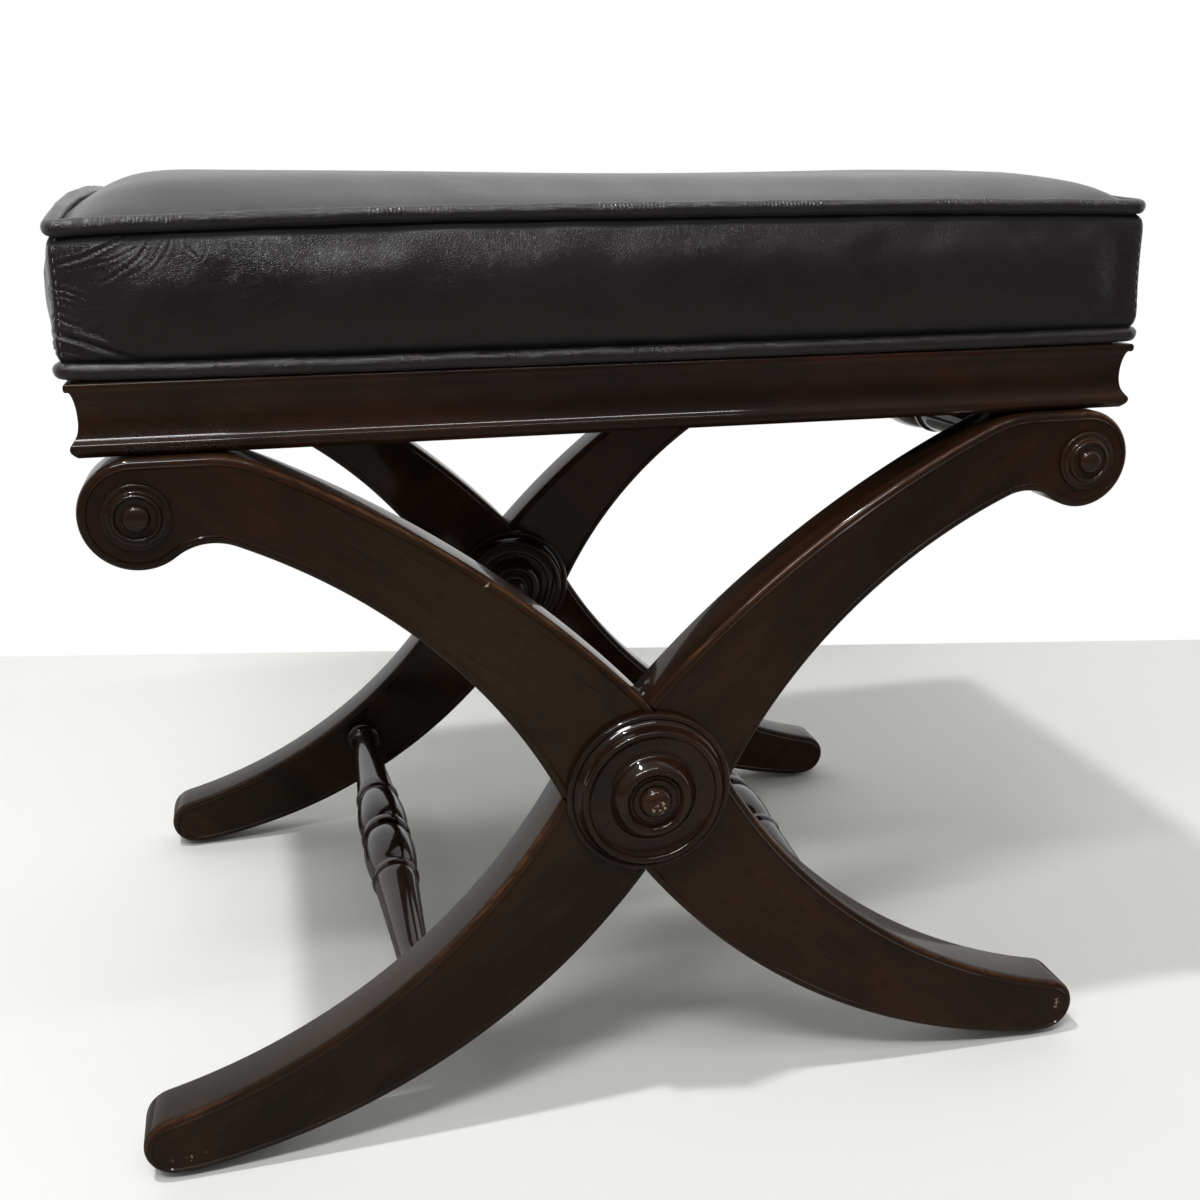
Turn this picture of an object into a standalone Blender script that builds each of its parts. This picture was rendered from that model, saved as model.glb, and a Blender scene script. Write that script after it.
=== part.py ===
"""An x-leg ottoman in the Regency manner: two X-shaped end frames of crossing S-curved legs, four
turned stretchers between them, a coved apron on the scroll tops and a boxed leather cushion.

Metres, +Z up. The floor is z = 0, the middle of the ottoman is x = y = 0 and the front faces -Y.
The ottoman is rigid: the crossings are glued half laps, so nothing in it folds or turns.
"""

from math import atan2, cos, pi, sin, sqrt

import bmesh
import bpy
from mathutils import Matrix, Vector

# Fits
FIT_GAP = 0.0003                # left between two pieces that touch
CUT_OVERRUN = 0.004             # how far a cut runs past the face that it opens

# X-frames: height and span
FRAME_HEIGHT = 0.399            # floor to the flat scroll tops
FRAME_DEPTH = 0.434             # outer face of the front frame to outer face of the rear one
LEG_THICKNESS = 0.032
CROSSING_HEIGHT = 0.2025        # floor to the middle of the crossing
CROSSING_HALF_WIDTH = 0.0476    # middle of the crossing to a side notch
CROSSING_HALF_HEIGHT = 0.0505   # middle of the crossing to the top or bottom notch

# X-frames: upper arms and their scrolls
SCROLL_HALF_SPAN = 0.250        # middle of the ottoman to a scroll's centre
SCROLL_RADIUS = 0.027
NECK_RADIUS = 0.028             # hollow under the arm, next to the scroll
NECK_INSET = 0.0419             # scroll's centre to the end of the arm's underside, inwards
NECK_DROP = 0.0174              # scroll's centre to the end of the arm's underside, down
ARM_UNDERSIDE_RADIUS = 0.319
ARM_TOP_RADIUS = 0.610
SCROLL_FLAT = 0.046             # scroll's centre to where the arm's top meets the flat, inwards
SHOULDER_RADIUS = 0.060         # rounds that meeting

# X-frames: lower legs and their toes
TOE_HALF_SPAN = 0.2812          # middle of the ottoman to the tip of a toe
TOE_RADIUS = 0.0175
SOLE_LENGTH = 0.0272            # tip of a toe to the back of its flat sole
LEG_TOP_RADIUS = 0.356
LEG_UNDERSIDE_RADIUS = 0.378

# Bead and quirk worked along both edges of each leg
EDGE_BEAD = 0.0036
QUIRK_WIDTH = 0.0011
QUIRK_DEPTH = 0.0008

# Turned bosses over the crossings, and the buttons in them
BOSS_RADIUS = 0.046
BOSS_HEIGHT = 0.017
BOSS_SOCKET_DEPTH = 0.005       # taken up by the dowel at the boss's back
BUTTON_RADIUS = 0.0088
BUTTON_SOCKET_DEPTH = 0.0055
BUTTON_HEIGHT = 0.0095          # floor of its socket to its tip
CROSSING_DOWEL_RADIUS = 0.007

# Rosettes on the outer faces of the scrolls
ROSETTE_RADIUS = 0.016
ROSETTE_HEIGHT = 0.0075
ROSETTE_PEG_RADIUS = 0.004
ROSETTE_PEG_LENGTH = 0.008

# Turned stretchers between the two frames
STRETCHER_RADIUS = 0.0172       # at the bulbs on both sides of the middle bead
TENON_RADIUS = 0.006
TENON_LENGTH = 0.015
UPPER_STRETCHER_INSET = 0.010   # scroll's centre to the stretcher's axis, inwards
UPPER_STRETCHER_RISE = 0.004    # scroll's centre to the stretcher's axis, up
LOWER_STRETCHER_HALF_SPAN = 0.126
LOWER_STRETCHER_RISE = 0.0045   # above the middle of the leg there

# Glides under the toes
GLIDE_RADIUS = 0.007
GLIDE_HEIGHT = 0.0035           # floor to the sole of the toe
GLIDE_NAIL_RADIUS = 0.0015
GLIDE_NAIL_LENGTH = 0.009

# Apron: four mitred rails with a cove moulding
APRON_END_SETBACK = 0.00065     # scroll's outer end to the apron's lip
APRON_SETBACK = 0.0050          # frame's outer face to the apron's lip
APRON_HEIGHT = 0.0347
RAIL_THICKNESS = 0.025
COVE_DEPTH = 0.0044
SCROLL_DOWEL_RADIUS = 0.004
SCROLL_DOWEL_LENGTH = 0.028
SCROLL_DOWEL_INSET = 0.032      # scroll's centre to the dowel, inwards

# Corner blocks, and the screws that hold the seat board down
BLOCK_LEG = 0.050
BLOCK_TIP = 0.004               # blunted off each tip
BLOCK_HEIGHT = 0.021
SCREW_RADIUS = 0.002
SCREW_LENGTH = 0.033
SCREW_HEAD_RADIUS = 0.004
SCREW_HEAD_HEIGHT = 0.0026
SCREW_INSET = 0.015             # rail's inner face to the screw, both ways

# Cushion: board, foam, leather and welts
CUSHION_END_OVERHANG = 0.0049   # apron's lip to the outside of the bottom welt, at the ends
CUSHION_OVERHANG = 0.0020       # the same at the front and the back
TOP_WELT_INSET = 0.0024         # outside of the bottom welt to the outside of the top one
CUSHION_CORNER_HEIGHT = 0.0678  # apron's top to the middle of the top welt, at a corner
SEAM_ARCH = 0.0055              # how far the top welt rises to the middle of each side
CROWN_HEIGHT = 0.0175           # how far the middle of the top rises above that
BAND_OVERHANG = 0.0024          # how far the strips stand out past the middle of the welts
BAND_BULGE = 0.0040             # outwards, in the middle of each side
CORNER_DRAW = 0.0010            # inwards, at each corner seam
BOARD_THICKNESS = 0.012
BOARD_CORNER = 0.008
LEATHER_THICKNESS = 0.002
FOAM_SLACK = 0.0012             # between the foam and the leather round it
TOP_WELT_RADIUS = 0.0038
BOTTOM_WELT_RADIUS = 0.0046
WELT_CORNER_RADIUS = 0.006
DUST_COVER_THICKNESS = 0.0008

# Fineness of the solids
ARC_STEPS = 8
SCROLL_STEPS = 12
NECK_STEPS = 5
SHOULDER_STEPS = 2
TOE_STEPS = 8
BOSS_SIDES = 20
STRETCHER_SIDES = 12
ROSETTE_SIDES = 12
BUTTON_SIDES = 10
DOWEL_SIDES = 12
SCREW_SIDES = 8
WELT_SIDES = 8
WELT_CORNER_STEPS = 3
TOP_WELT_STEPS = 8
CUSHION_STEPS_X = 14
CUSHION_STEPS_Y = 12
CUSHION_STEPS_UP = 3

# Shapes, as shares of the sizes above
# Boss, from its rim inwards: share of the radius, share of the height
BOSS_SHARES = [
    (1.000, 0.00), (1.000, 0.19), (0.975, 0.29), (0.940, 0.28), (0.925, 0.21), (0.890, 0.34),
    (0.850, 0.58), (0.825, 0.70), (0.790, 0.68), (0.762, 0.59), (0.650, 0.50), (0.545, 0.52),
    (0.480, 0.74), (0.430, 0.93), (0.385, 1.00), (0.345, 0.97), (0.300, 0.82), (0.262, 0.89),
]
# Rosette, from its rim inwards: share of the radius, share of the height
ROSETTE_SHARES = [
    (1.000, 0.00), (1.000, 0.16), (0.940, 0.27), (0.870, 0.22), (0.770, 0.28), (0.710, 0.58),
    (0.650, 0.62), (0.590, 0.42), (0.420, 0.42), (0.385, 0.66), (0.280, 0.90), (0.140, 0.99),
]
# Stretcher, from its middle to the leg: share of the half span, share of the radius
STRETCHER_SHARES = [
    (0.000, 0.99), (0.022, 0.96), (0.036, 0.85), (0.100, 0.98), (0.180, 0.99), (0.308, 0.81),
    (0.320, 0.89), (0.350, 0.89), (0.364, 0.81), (0.880, 0.54), (0.940, 0.60), (0.958, 0.78),
    (1.000, 0.75),
]
# Button, from its shoulder to its tip: share of the radius, share of the height
BUTTON_SHARES = [(1.00, 0.30), (0.95, 0.56), (0.76, 0.80), (0.40, 0.96)]
# Apron moulding, from top to bottom: share of the cove's depth inwards, share of the height up
APRON_SHARES = [
    (0.15, 1.00), (0.00, 0.985), (0.00, 0.91), (0.12, 0.885), (0.45, 0.88), (0.80, 0.78),
    (0.97, 0.64), (1.00, 0.50), (0.93, 0.37), (0.62, 0.25), (0.10, 0.17), (0.00, 0.13),
    (0.06, 0.09), (0.30, 0.05), (0.68, 0.00),
]
SCREW_HEAD_FLAT_SHARE = 0.7     # of the head's radius
CROWN_POWER = 10                # how flat the crown is in its middle
ARCH_POWER = 2.5                # how flat the arch of the seam is
DRAW_POWER = 4                  # how close to the corners the sides are drawn in

# Places worked out from the sizes
FRAME_FACE = FRAME_DEPTH / 2                      # middle of the ottoman to a frame's outer face
SCROLL_CENTRE_HEIGHT = FRAME_HEIGHT - SCROLL_RADIUS
UPPER_STRETCHER_HALF_SPAN = SCROLL_HALF_SPAN - UPPER_STRETCHER_INSET
UPPER_STRETCHER_HEIGHT = SCROLL_CENTRE_HEIGHT + UPPER_STRETCHER_RISE
GLIDE_HALF_SPAN = TOE_HALF_SPAN - (SOLE_LENGTH + TOE_RADIUS) / 2
SCROLL_DOWEL_HALF_SPAN = SCROLL_HALF_SPAN - SCROLL_DOWEL_INSET
APRON_BOTTOM = FRAME_HEIGHT + FIT_GAP
APRON_TOP = APRON_BOTTOM + APRON_HEIGHT
APRON_HALF_WIDTH = SCROLL_HALF_SPAN + SCROLL_RADIUS - APRON_END_SETBACK
APRON_HALF_DEPTH = FRAME_FACE - APRON_SETBACK
RAIL_INSIDE_X = APRON_HALF_WIDTH - RAIL_THICKNESS
RAIL_INSIDE_Y = APRON_HALF_DEPTH - RAIL_THICKNESS
BOARD_BOTTOM = APRON_TOP + FIT_GAP
DUST_COVER_BOTTOM = BOARD_BOTTOM - FIT_GAP - DUST_COVER_THICKNESS
BLOCK_TOP = DUST_COVER_BOTTOM - FIT_GAP
BLOCK_BOTTOM = BLOCK_TOP - BLOCK_HEIGHT
SCREW_X = RAIL_INSIDE_X - SCREW_INSET
SCREW_Y = RAIL_INSIDE_Y - SCREW_INSET
CUSHION_HALF_WIDTH = APRON_HALF_WIDTH + CUSHION_END_OVERHANG
CUSHION_HALF_DEPTH = APRON_HALF_DEPTH + CUSHION_OVERHANG
BOTTOM_WELT_X = CUSHION_HALF_WIDTH - BOTTOM_WELT_RADIUS
BOTTOM_WELT_Y = CUSHION_HALF_DEPTH - BOTTOM_WELT_RADIUS
BOTTOM_WELT_HEIGHT = APRON_TOP + FIT_GAP + BOTTOM_WELT_RADIUS
TOP_WELT_X = CUSHION_HALF_WIDTH - TOP_WELT_INSET - TOP_WELT_RADIUS
TOP_WELT_Y = CUSHION_HALF_DEPTH - TOP_WELT_INSET - TOP_WELT_RADIUS
TOP_WELT_HEIGHT = APRON_TOP + CUSHION_CORNER_HEIGHT
BAND_BOTTOM = BOTTOM_WELT_HEIGHT + BOTTOM_WELT_RADIUS + FIT_GAP
BAND_TOP = TOP_WELT_HEIGHT - TOP_WELT_RADIUS - FIT_GAP
BOARD_X = BOTTOM_WELT_X - BOTTOM_WELT_RADIUS - FIT_GAP
BOARD_Y = BOTTOM_WELT_Y - BOTTOM_WELT_RADIUS - FIT_GAP
BOARD_TOP = BOARD_BOTTOM + BOARD_THICKNESS
FOAM_BOTTOM = BOARD_TOP + FIT_GAP
PANEL_X = TOP_WELT_X - TOP_WELT_RADIUS - FIT_GAP
PANEL_Y = TOP_WELT_Y - TOP_WELT_RADIUS - FIT_GAP
PANEL_UNDERSIDE = TOP_WELT_HEIGHT - LEATHER_THICKNESS / 2


# Finishes
def finish(name, colour, roughness, metallic=0.0):
    material = bpy.data.materials.new(name)
    material.use_nodes = True
    shader = material.node_tree.nodes["Principled BSDF"]
    shader.inputs["Base Color"].default_value = (*colour, 1.0)
    shader.inputs["Roughness"].default_value = roughness
    shader.inputs["Metallic"].default_value = metallic
    material.diffuse_color = (*colour, 1.0)
    return material


def finishes():
    return {
        "frame wood": finish("dark mahogany", (0.030, 0.012, 0.008), 0.30),
        "turned wood": finish("turned dark mahogany", (0.034, 0.014, 0.009), 0.27),
        "worn wood": finish("rubbed mahogany", (0.085, 0.045, 0.026), 0.38),
        "apron wood": finish("apron mahogany", (0.027, 0.011, 0.008), 0.28),
        "leather": finish("aubergine brown leather", (0.026, 0.017, 0.018), 0.42),
        "welt leather": finish("welt leather", (0.022, 0.014, 0.015), 0.38),
        "foam": finish("cream foam", (0.720, 0.620, 0.420), 0.95),
        "plywood": finish("birch plywood", (0.560, 0.410, 0.250), 0.75),
        "pale wood": finish("beech", (0.500, 0.330, 0.190), 0.70),
        "cambric": finish("black cambric", (0.012, 0.012, 0.013), 0.95),
        "steel": finish("zinc plated steel", (0.600, 0.600, 0.580), 0.35, 1.0),
        "glide": finish("dark nylon", (0.016, 0.015, 0.015), 0.55),
    }


# Meshes
def mesh_from(name, work, smooth_angle=None):
    """Turns a closed bmesh into a mesh with its faces pointing out."""
    bmesh.ops.recalc_face_normals(work, faces=work.faces)
    mesh = bpy.data.meshes.new(name)
    work.to_mesh(mesh)
    work.free()
    if smooth_angle:
        mesh.shade_smooth()
        mesh.set_sharp_from_angle(angle=smooth_angle)
    return mesh


def bridge(work, ring, other):
    """Joins two closed rings of as many points with a band of quads."""
    for index in range(len(ring)):
        following = (index + 1) % len(ring)
        work.faces.new((ring[index], ring[following], other[following], other[index]))


def turned_mesh(name, profile, sides):
    """Spins a profile of (radius, height) pairs, from axis to axis, about the Z axis."""
    work = bmesh.new()
    ends = [work.verts.new((0, 0, height)) for height in (profile[0][1], profile[-1][1])]
    rings = []
    for radius, height in profile[1:-1]:
        angles = [2 * pi * side / sides for side in range(sides)]
        rings.append([work.verts.new((radius * cos(a), radius * sin(a), height)) for a in angles])
    for ring, other in zip(rings, rings[1:]):
        bridge(work, ring, other)
    for end, ring in zip(ends, (rings[0], rings[-1])):
        for side in range(sides):
            work.faces.new((end, ring[side], ring[(side + 1) % sides]))
    return mesh_from(name, work, smooth_angle=pi / 5)


def loft_mesh(name, rings, smooth_angle=None):
    """Joins closed rings of as many points one after the other and closes both ends."""
    work = bmesh.new()
    loops = [[work.verts.new(point) for point in ring] for ring in rings]
    for loop, other in zip(loops, loops[1:]):
        bridge(work, loop, other)
    work.faces.new(loops[0])
    work.faces.new(loops[-1])
    return mesh_from(name, work, smooth_angle)


def slab_mesh(name, outline, bottom, top):
    """A flat slab of a plan outline of (x, y) points."""
    return loft_mesh(name, [[(x, y, height) for x, y in outline] for height in (bottom, top)])


# Objects
def add_piece(name, mesh, material, location=(0, 0, 0), turn=(0, 0, 0)):
    piece = bpy.data.objects.new(name, mesh)
    bpy.context.collection.objects.link(piece)
    piece.location = location
    piece.rotation_euler = turn
    if not mesh.materials:
        mesh.materials.append(material)
    return piece


def add_cutter(name, mesh, location=(0, 0, 0), turn=(0, 0, 0)):
    cutter = bpy.data.objects.new(name, mesh)
    bpy.context.collection.objects.link(cutter)
    cutter.location = location
    cutter.rotation_euler = turn
    cutter.hide_render = True
    cutter.display_type = "WIRE"
    return cutter


def drill_mesh(name, bores):
    """One mesh of round cutters, each given as its radius and the two ends of its axis."""
    work = bmesh.new()
    for radius, start, end in bores:
        start, end = Vector(start), Vector(end)
        length = (end - start).length
        profile = [(0, 0), (radius, 0), (radius, length), (0, length)]
        rod = bmesh.new()
        rod.from_mesh(turned_mesh(name, profile, DOWEL_SIDES))
        along = (end - start).to_track_quat("Z", "Y").to_matrix().to_4x4()
        rod.transform(Matrix.Translation(start) @ along)
        placed = bpy.data.meshes.new(name)
        rod.to_mesh(placed)
        rod.free()
        work.from_mesh(placed)
    return mesh_from(name, work)


def cut(piece, cutter):
    modifier = piece.modifiers.new(cutter.name, "BOOLEAN")
    modifier.operation = "DIFFERENCE"
    modifier.object = cutter


# Arcs in the plane of a frame
def meeting_point(first, first_radius, second, second_radius, side):
    """Where two circles meet, on the left (1) or right (-1) of the way between their centres."""
    way = second - first
    along = (first_radius**2 - second_radius**2 + way.length_squared) / (2 * way.length)
    across = side * sqrt(first_radius**2 - along**2)
    unit = way.normalized()
    return first + unit * along + Vector((-unit.y, unit.x)) * across


def arc_points(centre, start, end, turn, steps):
    """Points after start up to end, anticlockwise (1) or clockwise (-1) about the centre."""
    first = atan2(start.y - centre.y, start.x - centre.x)
    last = atan2(end.y - centre.y, end.x - centre.x)
    sweep = turn * ((turn * (last - first)) % (2 * pi))
    radius = (start - centre).length
    points = []
    for step in range(1, steps + 1):
        angle = first + sweep * step / steps
        points.append(centre + radius * Vector((cos(angle), sin(angle))))
    return points


def inset_outline(outline, distance):
    """A clockwise outline moved inwards by a distance, with mitred corners."""
    moved = []
    for index, point in enumerate(outline):
        before = (point - outline[index - 1]).normalized()
        after = (outline[(index + 1) % len(outline)] - point).normalized()
        inward = Vector((before.y, -before.x)) + Vector((after.y, -after.x))
        inward.normalize()
        moved.append(point + inward * distance / (inward.dot(Vector((before.y, -before.x)))))
    return moved


# X-frame members
TOP_NOTCH = Vector((0, CROSSING_HEIGHT + CROSSING_HALF_HEIGHT))
BOTTOM_NOTCH = Vector((0, CROSSING_HEIGHT - CROSSING_HALF_HEIGHT))
SIDE_NOTCH = Vector((CROSSING_HALF_WIDTH, CROSSING_HEIGHT))
SCROLL_CENTRE = Vector((SCROLL_HALF_SPAN, SCROLL_CENTRE_HEIGHT))
TOE_CENTRE = Vector((TOE_HALF_SPAN - TOE_RADIUS, GLIDE_HEIGHT + TOE_RADIUS))
HEEL = Vector((TOE_HALF_SPAN - SOLE_LENGTH, GLIDE_HEIGHT))


def arm_outline():
    """The right arm from the top notch, round the scroll, to the side notch."""
    top_end = Vector((SCROLL_HALF_SPAN - SCROLL_FLAT, FRAME_HEIGHT))
    top = meeting_point(TOP_NOTCH, ARM_TOP_RADIUS, top_end, ARM_TOP_RADIUS, -1)
    shoulder_height = FRAME_HEIGHT - SHOULDER_RADIUS
    shoulder_reach = (ARM_TOP_RADIUS - SHOULDER_RADIUS) ** 2 - (shoulder_height - top.y) ** 2
    shoulder = Vector((top.x - sqrt(shoulder_reach), shoulder_height))
    shoulder_start = top + (shoulder - top).normalized() * ARM_TOP_RADIUS
    underside_end = SCROLL_CENTRE - Vector((NECK_INSET, NECK_DROP))
    under = meeting_point(SIDE_NOTCH, ARM_UNDERSIDE_RADIUS, underside_end, ARM_UNDERSIDE_RADIUS, -1)
    neck_reach = ARM_UNDERSIDE_RADIUS - NECK_RADIUS
    neck = meeting_point(under, neck_reach, SCROLL_CENTRE, SCROLL_RADIUS + NECK_RADIUS, 1)
    neck_start = SCROLL_CENTRE + (neck - SCROLL_CENTRE).normalized() * SCROLL_RADIUS
    neck_end = under + (neck - under).normalized() * ARM_UNDERSIDE_RADIUS
    shoulder_end = Vector((shoulder.x, FRAME_HEIGHT))
    scroll_start = Vector((SCROLL_CENTRE.x, FRAME_HEIGHT))
    return [
        TOP_NOTCH,
        *arc_points(top, TOP_NOTCH, shoulder_start, -1, ARC_STEPS),
        *arc_points(shoulder, shoulder_start, shoulder_end, -1, SHOULDER_STEPS),
        scroll_start,
        *arc_points(SCROLL_CENTRE, scroll_start, neck_start, -1, SCROLL_STEPS),
        *arc_points(neck, neck_start, neck_end, 1, NECK_STEPS),
        *arc_points(under, neck_end, SIDE_NOTCH, 1, ARC_STEPS),
    ]


def leg_arc_centres():
    """Centres of the arcs along the top and the underside of the right leg."""
    toe_reach = LEG_TOP_RADIUS + TOE_RADIUS
    top = meeting_point(SIDE_NOTCH, LEG_TOP_RADIUS, TOE_CENTRE, toe_reach, 1)
    under = meeting_point(BOTTOM_NOTCH, LEG_UNDERSIDE_RADIUS, HEEL, LEG_UNDERSIDE_RADIUS, 1)
    return top, under


def leg_outline():
    """The right leg from the side notch, round the toe, to the bottom notch."""
    top, under = leg_arc_centres()
    toe_start = TOE_CENTRE + (top - TOE_CENTRE).normalized() * TOE_RADIUS
    sole_start = Vector((TOE_CENTRE.x, GLIDE_HEIGHT))
    return [
        SIDE_NOTCH,
        *arc_points(top, SIDE_NOTCH, toe_start, 1, ARC_STEPS),
        *arc_points(TOE_CENTRE, toe_start, sole_start, -1, TOE_STEPS),
        HEEL,
        *arc_points(under, HEEL, BOTTOM_NOTCH, -1, ARC_STEPS),
    ]


def lower_stretcher_height():
    """The stretcher's axis lies a little above the middle of the leg."""
    middle = 0
    for centre, radius in zip(leg_arc_centres(), (LEG_TOP_RADIUS, LEG_UNDERSIDE_RADIUS)):
        reach = centre.x - LOWER_STRETCHER_HALF_SPAN
        middle += (centre.y - sqrt(radius**2 - reach**2)) / 2
    return middle + LOWER_STRETCHER_RISE


def rising_outline():
    """The member from the lower left toe to the upper right scroll, clockwise."""
    arm, leg = arm_outline(), leg_outline()
    across = Vector((-CROSSING_HALF_HEIGHT, CROSSING_HALF_WIDTH)).normalized() * FIT_GAP / 2
    arm[0] = arm[0] - across
    arm[-1] = arm[-1] + across
    left_leg = [Vector((-point.x, point.y)) for point in reversed(leg)]
    left_leg[0] = left_leg[0] + across
    left_leg[-1] = left_leg[-1] - across
    return arm + left_leg


def member_mesh(name, outline):
    """A member with a bead and a quirk along both edges of each face."""
    half = LEG_THICKNESS / 2
    edge_turn = EDGE_BEAD * (1 - sin(pi / 4))
    section = [
        (EDGE_BEAD + QUIRK_WIDTH, half),
        (EDGE_BEAD + QUIRK_WIDTH / 2, half - QUIRK_DEPTH),
        (EDGE_BEAD, half),
        (edge_turn, half - edge_turn),
        (0, half - EDGE_BEAD),
    ]
    section = [(inset, -y) for inset, y in section] + section[::-1]
    rings = []
    for inset, y in section:
        rings.append([(point.x, y, point.y) for point in inset_outline(outline, inset)])
    return loft_mesh(name, rings, smooth_angle=pi / 5)


def lap_mesh(name, side):
    """Cuts the front half (side 1) out of the rising member or the rear half of the other."""
    along = Vector((CROSSING_HALF_WIDTH, -CROSSING_HALF_HEIGHT)).normalized() * CUT_OVERRUN
    across = Vector((CROSSING_HALF_HEIGHT, CROSSING_HALF_WIDTH)).normalized() * FIT_GAP / 2
    left_notch = Vector((-SIDE_NOTCH.x, SIDE_NOTCH.y))
    corners = [
        TOP_NOTCH + across - along,
        SIDE_NOTCH + across + along,
        BOTTOM_NOTCH - across + along,
        left_notch - across - along,
    ]
    depths = (side * FIT_GAP / 2, -side * (LEG_THICKNESS / 2 + CUT_OVERRUN))
    rings = [[(side * point.x, y, point.y) for point in corners] for y in depths]
    return loft_mesh(name, rings)


def member_bores(side):
    """Bores in the member whose arm is on the right (side 1) or on the left (side -1)."""
    half = LEG_THICKNESS / 2
    arm, leg = side * UPPER_STRETCHER_HALF_SPAN, -side * LOWER_STRETCHER_HALF_SPAN
    dowel, nail = side * SCROLL_DOWEL_HALF_SPAN, -side * GLIDE_HALF_SPAN
    scroll, peg_end = side * SCROLL_HALF_SPAN, -half + ROSETTE_PEG_LENGTH + FIT_GAP
    tenon_end = half - TENON_LENGTH - FIT_GAP
    arm_height, leg_height = UPPER_STRETCHER_HEIGHT, lower_stretcher_height()
    dowel_end = FRAME_HEIGHT - SCROLL_DOWEL_LENGTH / 2 - FIT_GAP
    nail_end = GLIDE_HEIGHT + GLIDE_NAIL_LENGTH + FIT_GAP
    front, rear = -half - CUT_OVERRUN, half + CUT_OVERRUN
    return [
        (CROSSING_DOWEL_RADIUS, (0, front, CROSSING_HEIGHT), (0, rear, CROSSING_HEIGHT)),
        (TENON_RADIUS, (arm, tenon_end, arm_height), (arm, rear, arm_height)),
        (TENON_RADIUS, (leg, tenon_end, leg_height), (leg, rear, leg_height)),
        (ROSETTE_PEG_RADIUS, (scroll, front, SCROLL_CENTRE.y), (scroll, peg_end, SCROLL_CENTRE.y)),
        (SCROLL_DOWEL_RADIUS, (dowel, 0, dowel_end), (dowel, 0, FRAME_HEIGHT + CUT_OVERRUN)),
        (GLIDE_NAIL_RADIUS, (nail, 0, GLIDE_HEIGHT - CUT_OVERRUN), (nail, 0, nail_end)),
    ]


def widened(bores):
    return [(radius + FIT_GAP, start, end) for radius, start, end in bores]


def add_end_frames(looks):
    """Two members cross in each frame. The rear frame is the front one turned round."""
    rising = rising_outline()
    falling = [Vector((-point.x, point.y)) for point in reversed(rising)]
    for where, facing, turn in (("front", -1, 0), ("rear", 1, pi)):
        location = (0, facing * (FRAME_FACE - LEG_THICKNESS / 2), 0)
        for lean, outline, side in (("rising", rising, 1), ("falling", falling, -1)):
            name = f"{where}_leg_{lean}"
            member = add_piece(name, member_mesh(name, outline), looks["frame wood"], location)
            member.rotation_euler.z = turn
            lap = add_cutter(f"{name}_lap", lap_mesh(f"{name}_lap", side), location, (0, 0, turn))
            bores = drill_mesh(f"{name}_bores", widened(member_bores(side)))
            cut(member, lap)
            cut(member, add_cutter(f"{name}_bores", bores, location, (0, 0, turn)))


# Turned pieces of the frames
def boss_mesh():
    """A boss with a socket behind for the crossing dowel and one in front for its button."""
    dowel, button = CROSSING_DOWEL_RADIUS + FIT_GAP, BUTTON_RADIUS + FIT_GAP
    back = [(0, BOSS_SOCKET_DEPTH), (dowel, BOSS_SOCKET_DEPTH), (dowel, 0)]
    face = [(BOSS_RADIUS * radius, BOSS_HEIGHT * height) for radius, height in BOSS_SHARES]
    floor = BOSS_HEIGHT - BUTTON_SOCKET_DEPTH
    edge = BOSS_HEIGHT * BOSS_SHARES[-1][1]
    return turned_mesh("boss", back + face + [(button, edge), (button, floor), (0, floor)], BOSS_SIDES)


def button_mesh():
    """A domed button on its peg, from the floor of the socket."""
    dome = [(BUTTON_RADIUS * radius, BUTTON_HEIGHT * height) for radius, height in BUTTON_SHARES]
    profile = [(0, 0), (BUTTON_RADIUS, 0), *dome, (0, BUTTON_HEIGHT)]
    return turned_mesh("button", profile, BUTTON_SIDES)


def rosette_mesh():
    """A small rosette on its peg."""
    peg = [(0, -ROSETTE_PEG_LENGTH), (ROSETTE_PEG_RADIUS, -ROSETTE_PEG_LENGTH)]
    face = [(ROSETTE_RADIUS * radius, ROSETTE_HEIGHT * height) for radius, height in ROSETTE_SHARES]
    profile = peg + [(ROSETTE_PEG_RADIUS, 0)] + face + [(0, ROSETTE_HEIGHT)]
    return turned_mesh("rosette", profile, ROSETTE_SIDES)


def add_bosses(looks):
    """A boss on each face of both crossings, with a dowel through from boss to boss."""
    boss, button = boss_mesh(), button_mesh()
    floor = BOSS_HEIGHT - BUTTON_SOCKET_DEPTH + FIT_GAP
    for where, facing in (("front", -1), ("rear", 1)):
        inner_face = FRAME_FACE - LEG_THICKNESS
        for side, face, outward in (("outer", FRAME_FACE, facing), ("inner", inner_face, -facing)):
            turn = (-outward * pi / 2, 0, 0)
            base = facing * face + outward * FIT_GAP
            place = (0, base, CROSSING_HEIGHT)
            add_piece(f"{where}_boss_{side}", boss, looks["turned wood"], place, turn)
            place = (0, base + outward * floor, CROSSING_HEIGHT)
            add_piece(f"{where}_button_{side}", button, looks["worn wood"], place, turn)
        length = LEG_THICKNESS + 2 * BOSS_SOCKET_DEPTH
        profile = [(0, 0), (CROSSING_DOWEL_RADIUS, 0), (CROSSING_DOWEL_RADIUS, length), (0, length)]
        dowel = turned_mesh("crossing dowel", profile, DOWEL_SIDES)
        place = (0, facing * (FRAME_FACE - LEG_THICKNESS / 2) + length / 2, CROSSING_HEIGHT)
        add_piece(f"{where}_crossing_dowel", dowel, looks["pale wood"], place, (pi / 2, 0, 0))


def add_rosettes(looks):
    rosette = rosette_mesh()
    for where, facing in (("front", -1), ("rear", 1)):
        for side, sign in (("left", -1), ("right", 1)):
            place = (sign * SCROLL_HALF_SPAN, facing * (FRAME_FACE + FIT_GAP), SCROLL_CENTRE_HEIGHT)
            turn = (-facing * pi / 2, 0, 0)
            add_piece(f"{where}_rosette_{side}", rosette, looks["turned wood"], place, turn)


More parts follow.
